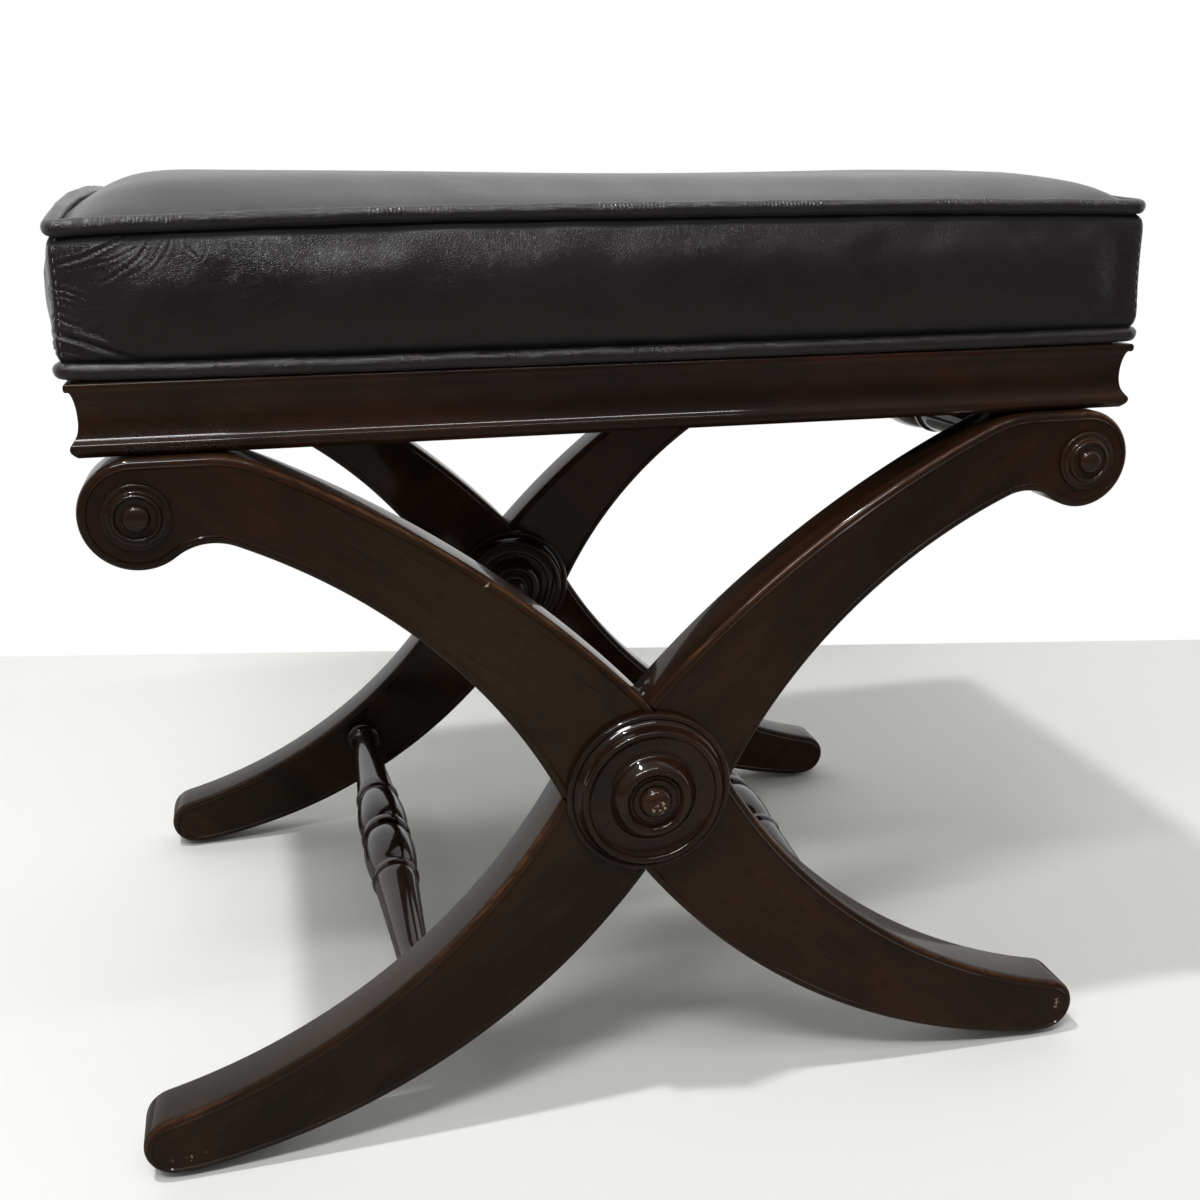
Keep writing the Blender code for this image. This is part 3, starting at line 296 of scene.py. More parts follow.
# Dried glue in the notch above the crossing, scratches on the left toe and small nicks, on the
# front frame only
pale_scratch = (0.40, 0.33, 0.24)
member_blemishes = [
    ((0.0, -0.2050, 0.2535), 0.0120, 230.0, (0.30, 0.30, 0.32)),
    ((-0.2577, -0.217, 0.0136), 0.0026, 520.0, pale_scratch),
    ((-0.2506, -0.217, 0.0161), 0.0022, 560.0, pale_scratch),
    ((-0.2670, -0.217, 0.0142), 0.0018, 600.0, pale_scratch),
    ((-0.0864, -0.217, 0.3265), 0.0026, 300.0, pale_scratch),
    ((-0.1754, -0.217, 0.0707), 0.0022, 300.0, pale_scratch),
    ((0.2700, -0.217, 0.0228), 0.0040, 480.0, pale_scratch),
]


def lone_point(name, place):
    """A new object at the origin, open in edit mode, with one vertex, which is selected."""
    if bpy.context.mode != "OBJECT":
        bpy.ops.object.mode_set(mode="OBJECT")
    bpy.ops.object.select_all(action="DESELECT")
    bpy.ops.mesh.primitive_plane_add(size=0.01, location=(0, 0, 0))
    piece = bpy.context.object
    piece.name = piece.data.name = name
    bpy.ops.object.mode_set(mode="EDIT")
    bpy.ops.mesh.select_mode(type="VERT")
    bpy.ops.mesh.select_all(action="SELECT")
    bpy.ops.mesh.merge(type="CENTER")
    bpy.ops.transform.translate(value=place)
    return piece


def pull(*runs):
    """Extrudes what is selected along each run in turn."""
    for run in runs:
        bpy.ops.mesh.extrude_region_move(TRANSFORM_OT_translate={"value": run})


def pull_through(points):
    pull(*(end - start for start, end in zip(points, points[1:])))


def fill(merge_distance=0.0):
    """Closes the drawn outline with a face."""
    bpy.ops.mesh.select_all(action="SELECT")
    if merge_distance:
        bpy.ops.mesh.remove_doubles(threshold=merge_distance)
    bpy.ops.mesh.edge_face_add()


def pick(piece, what, rule):
    """Selects the vertices, edges or faces of the open piece for which the rule holds."""
    bpy.ops.mesh.select_mode(type={"verts": "VERT", "edges": "EDGE", "faces": "FACE"}[what])
    bpy.ops.mesh.select_all(action="DESELECT")
    work = bmesh.from_edit_mesh(piece.data)
    for item in getattr(work, what):
        if rule(item):
            item.select_set(True)
    work.select_flush_mode()
    bmesh.update_edit_mesh(piece.data)


def close_up(piece, smooth=30):
    """Merges doubles, turns the faces outwards, leaves edit mode and smooths the shading."""
    bpy.ops.mesh.select_all(action="SELECT")
    bpy.ops.mesh.remove_doubles(threshold=0.00002)
    bpy.ops.mesh.normals_make_consistent(inside=False)
    bpy.ops.object.mode_set(mode="OBJECT")
    bpy.ops.object.shade_smooth_by_angle(angle=radians(smooth))
    return piece


def copied(piece, name, turn=Matrix.Identity(4)):
    """A copy with its own mesh, moved or turned in that mesh."""
    twin = bpy.data.objects.new(name, piece.data.copy())
    twin.data.name = name
    bpy.context.collection.objects.link(twin)
    twin.data.transform(turn)
    if turn.determinant() < 0:
        twin.data.flip_normals()
    return twin


def active(piece):
    """Makes this the one selected and active object."""
    if bpy.context.mode != "OBJECT":
        bpy.ops.object.mode_set(mode="OBJECT")
    bpy.ops.object.select_all(action="DESELECT")
    piece.select_set(True)
    bpy.context.view_layer.objects.active = piece
    return piece


def cut_away(piece, cutter, name):
    """Cuts the cutter out of the piece, and removes it."""
    cut = active(piece).modifiers.new(name, "BOOLEAN")
    cut.object = cutter
    bpy.ops.object.modifier_apply(modifier=cut.name)
    bpy.data.objects.remove(cutter)


def store(piece, name, values):
    """Stores one value at each vertex, for the material to read."""
    attribute = piece.data.attributes.new(name, "FLOAT", "POINT")
    attribute.data.foreach_set("value", values.astype(np.float32).ravel())


def mark_edges(piece):
    """Stores where an upper edge rounds over from a face, for the rubbed beads of a board."""
    normals = np.empty(len(piece.data.vertices) * 3, np.float32)
    piece.data.vertex_normals.foreach_get("vector", normals)
    x, y, z = normals.reshape(-1, 3).T
    rounding = np.minimum(np.abs(y), np.hypot(x, z))
    store(piece, "rubbed", np.clip(rounding * 6.0 - 3.0, 0, 1) * np.clip(z * 3 + 0.3, 0, 1))


def fit(piece, solid):
    """Puts a finished piece in the place of its plain solid."""
    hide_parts(solid)
    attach(piece, "root")


member = lone_point("member", (0, front_face, notch_top))
for segment in member_outline:
    if len(segment) == 4:
        centre_x, centre_z, sweep, steps = segment
        centre = (centre_x, front_face, centre_z)
        bpy.ops.mesh.spin(steps=steps, angle=radians(sweep), center=centre, axis=(0, 1, 0))
    else:
        pull((segment[0], 0, segment[1]))
fill(0.00005)
pull((0, board_thickness, 0))
pick(member, "edges", lambda edge: abs(edge.verts[0].co.y - edge.verts[1].co.y) < 1e-5)
bpy.ops.mesh.bevel(offset=edge_bead, segments=5, affect="EDGES")
pick(member, "faces", lambda face: abs(face.normal.y) > 0.999 and face.calc_area() > 0.01)
bpy.ops.mesh.inset(thickness=quirk_half, depth=-quirk_depth)
bpy.ops.mesh.inset(thickness=quirk_half, depth=quirk_depth)
close_up(member)

for lean, side in (("rising", 1), ("falling", -1)):
    finish = lacquered_wood(
        f"mahogany {lean} member", member_toner, member_stain, member_bare, member_gloss,
        (0, side * grain_slope, 0), side * 0.7, member_blemishes,
    )
    template = copied(member, f"{lean} member", Matrix.Scale(side, 4, (1, 0, 0)))
    # The recess takes the front half of the rising member and the rear half of the other.
    half_height = notch_top - crossing_height
    along = Vector((crossing_half, 0, -half_height)).normalized() * lap_overrun
    across = Vector((half_height, 0, crossing_half)).normalized() * lap_width / 2
    corners = [
        Vector((0, 0, notch_top)) + across - along,
        Vector((crossing_half, 0, crossing_height)) + across + along,
        Vector((0, 0, notch_bottom)) - across + along,
        Vector((-crossing_half, 0, crossing_height)) - across - along,
    ]
    corners = [Vector((side * corner.x, 0, corner.z)) for corner in corners]
    recess = lone_point("recess", corners[0] + Vector((0, half_lap + side * lap_width / 2, 0)))
    pull_through(corners)
    fill()
    pull((0, -side * (board_thickness / 2 + lap_overrun), 0))
    cut_away(template, close_up(recess), "half lap")
    bpy.ops.object.shade_smooth_by_angle(angle=radians(30))
    mark_edges(template)
    for where, turn in (("front", 0), ("rear", pi)):
        piece = copied(template, f"{where}_member_{lean}", Matrix.Rotation(turn, 4, "Z"))
        piece.data.materials.append(finish)
        fit(piece, f"{where}_leg_{lean}")
    bpy.data.objects.remove(template)
bpy.data.objects.remove(member)

# Bosses over the crossings: turned and dished, with a thin rim bead, a ring bead and a hub
# round the socket of a separate button. One is glued on each face of each frame.
glue_gap, lathe_gloss = 0.0003, 0.70
turned_toner, turned_stain = (0.0078, 0.0041, 0.0022), (0.026, 0.0115, 0.0052)
# Profiles of turned pieces: radius and height, sharp where a point is given twice
boss_profile = [
    (0, 0.0110), (0.0091, 0.0110), (0.0091, 0.0110), (0.0091, 0.0146), (0.0095, 0.0151),
    (0.0120, 0.0152), (0.0120, 0.0152), (0.0128, 0.0140), (0.0138, 0.0139), (0.0146, 0.0148),
    (0.0159, 0.0165), (0.0177, 0.0170), (0.0198, 0.0158), (0.0221, 0.0126), (0.0240, 0.0097),
    (0.0265, 0.0086), (0.0299, 0.0085), (0.0332, 0.0092), (0.0350, 0.0100), (0.0350, 0.0100),
    (0.0354, 0.0110), (0.0363, 0.0118), (0.0376, 0.0120), (0.0387, 0.0112), (0.0391, 0.0100),
    (0.0396, 0.0084), (0.0408, 0.0061), (0.0425, 0.0044), (0.0425, 0.0044), (0.0431, 0.0048),
    (0.0440, 0.0050), (0.0452, 0.0047), (0.0460, 0.0036), (0.0460, 0.0036), (0.0460, 0),
    (0.0460, 0), (0, 0),
]


def flowing(points, fineness=4):
    """A smooth line through the points of a profile, sharp where a point is given twice."""
    runs, run = [], [points[0]]
    for point in points[1:]:
        if point == run[-1]:
            runs.append(run)
            run = [point]
        else:
            run.append(point)
    runs.append(run)
    line = [Vector(points[0])]
    for run in [run for run in runs if len(run) > 1]:
        ends = [2 * Vector(run[0]) - Vector(run[1])] + [Vector(point) for point in run]
        ends.append(2 * ends[-1] - ends[-2])
        for index in range(1, len(ends) - 2):
            before, start, end, after = ends[index - 1 : index + 3]
            for share in (step / fineness for step in range(1, fineness + 1)):
                bend = (2 * before - 5 * start + 4 * end - after) * share**2
                bend += (3 * start - before - 3 * end + after) * share**3
                line.append(0.5 * (2 * start + (end - before) * share + bend))
    return line


def turned(name, line, sides):
    """Spins a line of (radius, height) points about Z, as on a lathe, and closes it."""
    points = [Vector((radius, 0, height)) for radius, height in line]
    piece = lone_point(name, points[0])
    pull_through(points)
    bpy.ops.mesh.select_all(action="SELECT")
    bpy.ops.mesh.spin(steps=sides, angle=2 * pi, center=(0, 0, 0), axis=(0, 0, 1))
    return close_up(piece)


def mark_rubbed(piece, least, most):
    """Stores how sharply the surface bends outwards at each vertex, for the rubbed edges."""
    work = bmesh.new()
    work.from_mesh(piece.data)
    bends = []
    for vertex in work.verts:
        ways = [edge.other_vert(vertex).co - vertex.co for edge in vertex.link_edges]
        bend = sum(-way.dot(vertex.normal) / max(way.length_squared, 1e-12) for way in ways)
        bends.append(bend / max(len(ways), 1))
    work.free()
    store(piece, "rubbed", np.clip((np.array(bends) - least) / (most - least), 0, 1))


def facing(where, face, height, x=0):
    """Stands a turned piece on a frame's face: its Z axis goes out along Y."""
    outward = -1 if (where == "front") == (face == "outer") else 1
    reach = -front_face if face == "outer" else -front_face - board_thickness
    y = (-reach if where == "front" else reach) + outward * glue_gap
    return Matrix.Translation((x, y, height)) @ Matrix.Rotation(-outward * pi / 2, 4, "X")


def on_crossings(template, name, solid):
    """Copies a turned piece to both faces of both crossings, and removes the first."""
    for where in ("front", "rear"):
        for face in ("outer", "inner"):
            place = facing(where, face, crossing_height)
            fit(copied(template, f"{where}_{name}_{face}", place), f"{where}_{solid}_{face}")
    bpy.data.objects.remove(template)


turned_finish = lacquered_wood("turned mahogany", turned_toner, turned_stain, bare_wood, lathe_gloss)
boss = turned("boss", flowing(boss_profile), 96)
mark_rubbed(boss, 150, 700)
boss.data.materials.append(turned_finish)
on_crossings(boss, "crossing_boss", "boss")

# Buttons in the bosses: small turned domes on a peg. At the tip of the two outer ones, where
# they are touched, the lacquer is rubbed through to pale wood.
button_profile = [
    (0, 0.0113), (0.0088, 0.0113), (0.0088, 0.0113), (0.0088, 0.0139), (0.0087, 0.0156),
    (0.0079, 0.0178), (0.0062, 0.0196), (0.0040, 0.0206), (0.0018, 0.0210), (0, 0.0211),
]
tip_reach, tip_fineness, tip_colour = 0.0046, 560.0, (0.75, 0.50, 0.28)
tips = [((0.0006, y, 0.2010), tip_reach, tip_fineness, tip_colour) for y in (-0.238, 0.238)]
worn_finish = lacquered_wood(
    "rubbed mahogany", (0.0100, 0.0048, 0.0026), (0.040, 0.017, 0.0078), bare_wood, lathe_gloss,
    blemishes=tips,
)
button = turned("button", flowing(button_profile), 64)
button.data.materials.append(worn_finish)
mark_rubbed(button, 100, 500)
on_crossings(button, "knob", "button")

# Rosettes on the outer faces of the scrolls: turned like the bosses, in small, with a domed
# centre, and pegged into the middle of each scroll.
scroll_x, scroll_height = 0.250, 0.372
rosette_profile = [
    (0, 0), (0.0160, 0), (0.0160, 0), (0.0160, 0.0012), (0.0157, 0.0018), (0.0150, 0.0020),
    (0.0141, 0.0017), (0.0141, 0.0017), (0.0124, 0.0021), (0.0118, 0.0032), (0.0113, 0.0043),
    (0.0104, 0.0048), (0.0096, 0.0041), (0.0093, 0.0032), (0.0093, 0.0032), (0.0067, 0.0031),
    (0.0067, 0.0031), (0.0062, 0.0049), (0.0052, 0.0062), (0.0036, 0.0070), (0.0018, 0.0074),
    (0, 0.0075),
]
both_sides = (("left", -1), ("right", 1))
rosette = turned("rosette", flowing(rosette_profile), 64)
mark_rubbed(rosette, 250, 900)
rosette.data.materials.append(turned_finish)
for where in ("front", "rear"):
    for side, sign in both_sides:
        place = facing(where, "outer", scroll_height, sign * scroll_x)
        piece = copied(rosette, f"{where}_scroll_rosette_{side}", place)
        fit(piece, f"{where}_rosette_{side}")
bpy.data.objects.remove(rosette)

# Stretchers: four turned rails from frame to frame. From a bead in the middle each way runs a
# bulb, a ring and a long taper, to a collar that covers the hole of the tenon.
stretcher_half = [
    (0.0170, 0.0000), (0.0169, 0.0022), (0.0163, 0.0043), (0.0148, 0.0060), (0.0148, 0.0060),
    (0.0152, 0.0075), (0.0164, 0.0130), (0.0171, 0.0200), (0.0172, 0.0270), (0.0167, 0.0380),
    (0.0156, 0.0480), (0.0140, 0.0566), (0.0140, 0.0566), (0.0141, 0.0574), (0.0150, 0.0590),
    (0.0155, 0.0618), (0.0150, 0.0646), (0.0141, 0.0662), (0.0141, 0.0670), (0.0141, 0.0670),
    (0.0128, 0.0900), (0.0115, 0.1150), (0.0102, 0.1420), (0.0093, 0.1625), (0.0093, 0.1625),
    (0.0096, 0.1680), (0.0104, 0.1736), (0.0104, 0.1736), (0.0118, 0.1748), (0.0133, 0.1770),
    (0.0136, 0.1795), (0.0132, 0.1830), (0.0129, 0.1846), (0.0129, 0.1846), (0, 0.1846),
]
stretcher_places = (("upper", 0.240, 0.376), ("lower", 0.126, 0.08168))
half_line = flowing(stretcher_half, 3)
stretcher_line = [(r, -along) for r, along in reversed(half_line[1:])] + half_line
stretcher = turned("stretcher", stretcher_line, 48)
mark_rubbed(stretcher, 200, 800)
stretcher_finish = lacquered_wood(
    "stretcher mahogany", (0.0070, 0.0037, 0.0022), (0.024, 0.0110, 0.0052), bare_wood, lathe_gloss,
    (0, pi / 2, pi / 2),
)
stretcher.data.materials.append(stretcher_finish)
for level, reach, height in stretcher_places:
    for side, sign in both_sides:
        place = Matrix.Translation((sign * reach, 0, height)) @ Matrix.Rotation(pi / 2, 4, "X")
        piece = copied(stretcher, f"{level}_turned_rail_{side}", place)
        fit(piece, f"{level}_stretcher_{side}")
bpy.data.objects.remove(stretcher)

# Glides: dark nylon buttons with rounded rims. One is nailed under the sole of each toe, and
# keeps the lacquered wood off the floor.
glide_x, nylon_black = 0.25885, (0.016, 0.015, 0.015)
glide_profile = [
    (0, 0), (0.0052, 0), (0.0052, 0), (0.0063, 0.0004), (0.0069, 0.0012), (0.0070, 0.0020),
    (0.0070, 0.0032), (0.0070, 0.0032), (0, 0.0032),
]
glide = turned("glide", flowing(glide_profile), 40)
finish, tree, inputs = plain_finish("dark nylon", nylon_black, 0.5)
scuffs = noise_of(tree, object_place(tree), 900.0, 3.0)
tree.links.new(ranged(tree, scuffs, 0.3, 0.7, 0.4, 0.7), inputs["Roughness"])
glide.data.materials.append(finish)
for where, y in (("front", half_lap), ("rear", -half_lap)):
    for side, sign in both_sides:
        place = Matrix.Translation((sign * glide_x, y, 0))
        fit(copied(glide, f"{where}_foot_button_{side}", place), f"{where}_glide_{side}")
bpy.data.objects.remove(glide)

# Apron: four rails run through one moulding cutter, with a bead above, a step, a wide cove and
# a thin lip below. They are mitred at the corners and glued on the flats of the scrolls.
apron_bottom, apron_half_width, apron_half_depth, mitre_gap = 0.3993, 0.27635, 0.212, 0.00015
apron_toner, apron_stain, apron_gloss = (0.0075, 0.0039, 0.0020), (0.030, 0.0130, 0.0058), 0.48
# Inwards from the lip and up from the rail's bottom
apron_profile = [
    (0.0030, 0.0000), (0.0030, 0.0000), (0.0013, 0.0016), (0.0003, 0.0030), (0.0000, 0.0045),
    (0.0004, 0.0059), (0.0004, 0.0059), (0.0018, 0.0076), (0.0029, 0.0093), (0.0038, 0.0118),
    (0.0043, 0.0150), (0.0044, 0.0180), (0.0042, 0.0222), (0.0036, 0.0262), (0.0027, 0.0292),
    (0.0020, 0.0305), (0.0020, 0.0305), (0.0006, 0.0307), (0.0006, 0.0307), (0.0001, 0.0316),
    (0.0000, 0.0328), (0.0002, 0.0340), (0.0009, 0.0347), (0.0009, 0.0347), (0.0250, 0.0347),
    (0.0250, 0.0347), (0.0250, 0.0000),
]
# Fine pale specks along the left of the front lip: partly wear, partly a painted highlight on the bead
lip_specks_and_highlight = [
    ((x, -0.2115, 0.4035), 0.012, 1100.0, (0.055, 0.043, 0.035)) for x in (-0.245, -0.228, -0.210)
]
apron_finish = lacquered_wood(
    "apron mahogany", apron_toner, apron_stain, bare_wood, apron_gloss, blemishes=lip_specks_and_highlight
)
end_finish = lacquered_wood(
    "apron end mahogany", apron_toner, apron_stain, bare_wood, apron_gloss, (0, 0, pi / 2)
)
for where, half_length, half_depth, turn, finish in (
    ("front", apron_half_width, apron_half_depth, 0, apron_finish),
    ("rear", apron_half_width, apron_half_depth, pi, apron_finish),
    ("left", apron_half_depth, apron_half_width, -pi / 2, end_finish),
    ("right", apron_half_depth, apron_half_width, pi / 2, end_finish),
):
    line = [
        Vector((-half_length, inwards - half_depth, apron_bottom + up))
        for inwards, up in flowing(apron_profile, 3)
    ]
    rail = lone_point(f"{where}_apron_rail", line[0])
    pull_through(line)
    fill(0.00002)
    pull((2 * half_length, 0, 0))
    for end in (-1, 1):
        bpy.ops.mesh.select_all(action="SELECT")
        corner = (end * (half_length - mitre_gap), -half_depth, 0)
        bpy.ops.mesh.bisect(plane_co=corner, plane_no=(end, 1, 0), use_fill=True, clear_outer=True)
    close_up(rail)
    rail.data.transform(Matrix.Rotation(turn, 4, "Z"))
    mark_rubbed(rail, 200, 900)
    rail.data.materials.append(finish)
    fit(rail, f"apron_rail_{where}")

# Hidden joinery: beech dowels through the crossings and into the scroll tops, beech blocks in
# the corners of the apron, and a birch plywood seat board with a black cambric dust cover.
beech_colour, beech_vein = (0.50, 0.33, 0.19), (0.36, 0.21, 0.11)
birch_colour, birch_vein = (0.56, 0.41, 0.25), (0.43, 0.29, 0.16)
cambric_dark, cambric_light = (0.008, 0.008, 0.009), (0.024, 0.024, 0.026)
cambric_black = (0.013, 0.013, 0.014)


def raw_wood(name, colour, vein, streak):
    """Unfinished wood: straight grain, darker veins and a dry, slightly rough surface."""
    finish, tree, inputs = plain_finish(name, colour, 0.75)
    lines = noise_of(tree, stretched(tree, object_place(tree), (6, streak, streak)), 1.0, 5.0, 0.65)
    tree.links.new(blended(tree, ranged(tree, lines, 0.35, 0.7), colour, vein), inputs["Base Color"])
    bumped(tree, inputs, lines, 0.3, 0.0003)
    return finish


beech = raw_wood("beech", beech_colour, beech_vein, 60.0)
birch = raw_wood("birch plywood", birch_colour, birch_vein, 35.0)
cambric, tree, inputs = plain_finish("black cambric", cambric_black, 0.95)
threads = []
for turn in (0, pi / 2):
    links = [("Vector", stretched(tree, object_place(tree), (1, 1, 1), (0, 0, turn)))]
    links += [("Scale", 420.0), ("Distortion", 1.5)]
    wave = add_node(tree, "ShaderNodeTexWave", links, bands_direction="X")
    threads.append(wave.outputs["Fac"])
weave = math_of(tree, "MULTIPLY", *threads)
tree.links.new(blended(tree, weave, cambric_dark, cambric_light), inputs["Base Color"])
bumped(tree, inputs, weave, 0.5, 0.0002)
for node_name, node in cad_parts.items():
    if "dowel" in node_name or "corner_block" in node_name:
        node.material_slots[0].material = beech
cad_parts["seat_board"].material_slots[0].material = birch
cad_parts["dust_cover"].material_slots[0].material = cambric

# Screws: zinc-plated, with pan heads and a cross recess. One goes up through each corner block
# into the seat board, and holds the cushion down on the apron.
screw_x, screw_y, screw_height, zinc_colour = 0.23635, 0.172, 0.4116, (0.60, 0.60, 0.57)
screw_profile = [
    (0, -0.0026), (0.0018, -0.0025), (0.0031, -0.0020), (0.0038, -0.0012), (0.0040, -0.0003),
    (0.0040, 0.0), (0.0040, 0.0), (0.0020, 0.0), (0.0020, 0.0), (0.0020, 0.0305),
    (0.0020, 0.0305), (0, 0.0330),
]
recess_length, recess_width, recess_depth, recess_height = 0.0044, 0.0009, 0.0022, -0.0024
screw = turned("screw", flowing(screw_profile), 32)
for turn in (0, pi / 2):
    active(screw)
    bpy.ops.mesh.primitive_cube_add(size=1, location=(0, 0, recess_height), rotation=(0, 0, turn))
    cutter = bpy.context.object
    bpy.ops.transform.resize(value=(recess_length, recess_width, recess_depth))
    cutter.rotation_euler.z = turn
    cut_away(screw, cutter, "cross recess")
bpy.ops.object.shade_smooth_by_angle(angle=radians(30))
finish, tree, inputs = plain_finish("zinc plate", zinc_colour, 0.35)
inputs["Metallic"].default_value = 1
dull = noise_of(tree, object_place(tree), 500.0, 3.0)
tree.links.new(ranged(tree, dull, 0.3, 0.7, 0.25, 0.5), inputs["Roughness"])
screw.data.materials.append(finish)
for where, y in (("front", -screw_y), ("rear", screw_y)):
    for side, sign in both_sides:
        place = Matrix.Translation((sign * screw_x, y, screw_height))
        piece = copied(screw, f"{where}_{side}_board_screw", place)
        fit(piece, f"seat_screw_{where}_{side}")
bpy.data.objects.remove(screw)

# Boxed cushion: a foam pad under a leather cover of a crowned top panel and four side strips,
# sewn together with a piping cord along both edges. The seams lie in behind the cords.
top_cord_x, top_cord_y, top_cord_height, top_cord_radius = 0.27505, 0.2078, 0.5018, 0.0038
low_cord_x, low_cord_y, low_cord_height, low_cord_radius = 0.27665, 0.2094, 0.4383, 0.0040
low_seam, strip_height, corner_lift = 0.4405, 0.0592, 0.0010
seam_rise, left_seam_rise, right_seam_lift = 0.0055, 0.0120, 0.0040
top_half_x, top_half_y, top_corner, top_seam = 0.2722, 0.2050, 0.0045, 0.5035
crown_rise, hollow, hollow_place, hollow_reach = 0.0170, 0.0038, 0.35, 0.7
shoulder, right_shoulder_loss, left_end_reach, right_end_reach = 0.020, 0.009, 0.018, 0.0075
left_dip, dip_reach = 0.0036, 0.009
seam_depth, face_reach, belly_reach = 0.0042, 0.0024, 0.0040
corner_depth, corner_waist, corner_roll = 0.0012, 0.0016, 0.0030
seam_lean, low_roll, top_roll = 0.0003, 0.0026, 0.0024
step_growth, foam_drop, lift_in_crown = 1.18, 1.3, 0.8
# The top starts a little low, and the padding lifts it to its full height.
slack_crown, simulation_steps = crown_rise - 0.0036, 20


def right_lift(share_x):
    return right_seam_lift * max(share_x, 0) ** 1.5


def seam_arch(share_x, share_y):
    """The top seam arches up along each side, most on the left, and lies high on the right."""
    rise = seam_rise + (left_seam_rise - seam_rise) * max(-share_x, 0) ** 12
    return rise * (1 - abs(share_x * share_y) ** 2.5) + right_lift(share_x)


def soften(distance, reach):
    """From 0 at a seam to 1 well away from it, as padding rounds over."""
    return 1 - exp(-max(distance, 0) / reach)


def finer_at_ends(half, fine, coarse, reach=0.0):
    """Places from -half to half, close together near both ends and further apart between."""
    steps, place, step = [0.0], 0.0, fine
    while place < half:
        place += step
        steps.append(place)
        step = min(step * (step_growth if place > reach else 1.0), coarse)
    steps = [half * value / steps[-1] for value in steps]
    return [-(half - value) for value in steps] + [half - value for value in reversed(steps[:-1])]


def top_point(x, y, inset=0.0):
    """The crowned top: round-cornered in plan, steep at its seams and nearly flat between."""
    half_x, half_y = top_half_x - inset, top_half_y - inset
    share_x, share_y, from_end = x / half_x, y / half_y, max(half_x - abs(x), 0)
    # On the left the padding rises later, and the piping stands proud of the top.
    rise = 1 - exp(-((from_end / (left_end_reach if x < 0 else right_end_reach)) ** 1.5))
    rise *= soften(half_y - abs(y), shoulder - right_shoulder_loss * max(share_x, 0) ** 3)
    dip = left_dip * exp(-from_end / dip_reach) * (1 - abs(share_y) ** 6) if x < 0 else 0.0
    # Sitting has pressed a shallow hollow, a little right of the middle.
    crown = slack_crown - hollow * exp(-(((share_x - hollow_place) / hollow_reach) ** 2))
    crown -= lift_in_crown * right_lift(share_x)
    height = top_seam - foam_drop * inset - dip + seam_arch(share_x, share_y) + crown * rise
    out_x, out_y = abs(x) - (half_x - top_corner), abs(y) - (half_y - top_corner)
    if out_x > 0 and out_y > 0:
        share = max(out_x, out_y) / sqrt(out_x**2 + out_y**2)
        x += (share - 1) * out_x * (1 if x > 0 else -1)
        y += (share - 1) * out_y * (1 if y > 0 else -1)
    return Vector((x, y, height))


def side_point(along, up, across, turned_round, inset=0.0):
    """The side strip on -Y, or on +X when across is true: along and up are shares.

    It is drawn there also for the rear and the left, which are turned round afterwards.
    """
    ends = []
    for top, low in ((top_cord_x, low_cord_x), (top_cord_y, low_cord_y)):
        seam = low - seam_depth + (top - low + seam_lean) * up
        ends.append((seam, low + face_reach + (top - low) * up))
    height = strip_height + seam_rise * up
    edge = soften(up * height, low_roll) * soften((1 - up) * height, top_roll)
    corner = [seam + (face - seam) * edge - corner_depth - inset for seam, face in ends]
    corner[0] -= corner_waist * sin(pi * up)
    seam, face = ends[0 if across else 1]
    belly = belly_reach * (1 - abs(along) ** 4) * sin(pi * up)
    reach = seam + (face + belly - seam) * edge - inset
    length, start = (corner[1], corner[0]) if across else (corner[0], corner[1])
    reach = start + (reach - start) * soften((1 - abs(along)) * length, corner_roll)
    facing_x = -1 if turned_round else 1
    arch = seam_arch(facing_x, along) if across else seam_arch(facing_x * along, 1)
    z = low_seam + (strip_height + arch) * up
    return Vector((reach, along * length, z) if across else (along * length, -reach, z))


def wall_between(work, near, far, around=False):
    """Quads between two lines of vertices, and between their ends when the lines go around."""
    for index in range(len(near) - (0 if around else 1)):
        after = (index + 1) % len(near)
        work.faces.new((near[index], near[after], far[after], far[index]))


def sheet_in(work, rows):
    """Quads over rows of points."""
    made = [[work.verts.new(point) for point in row] for row in rows]
    for near, far in zip(made, made[1:]):
        wall_between(work, near, far)
    return made


def object_from(work, name, closed=True):
    """The object for a mesh that was built up, with its faces outwards if it is closed."""
    if closed:
        bmesh.ops.recalc_face_normals(work, faces=work.faces)
    mesh = bpy.data.meshes.new(name)
    work.to_mesh(mesh)
    work.free()
    piece = bpy.data.objects.new(name, mesh)
    bpy.context.collection.objects.link(piece)
    return piece


def sheet_of(name, rows):
    work = bmesh.new()
    sheet_in(work, rows)
    return object_from(work, name, closed=False)


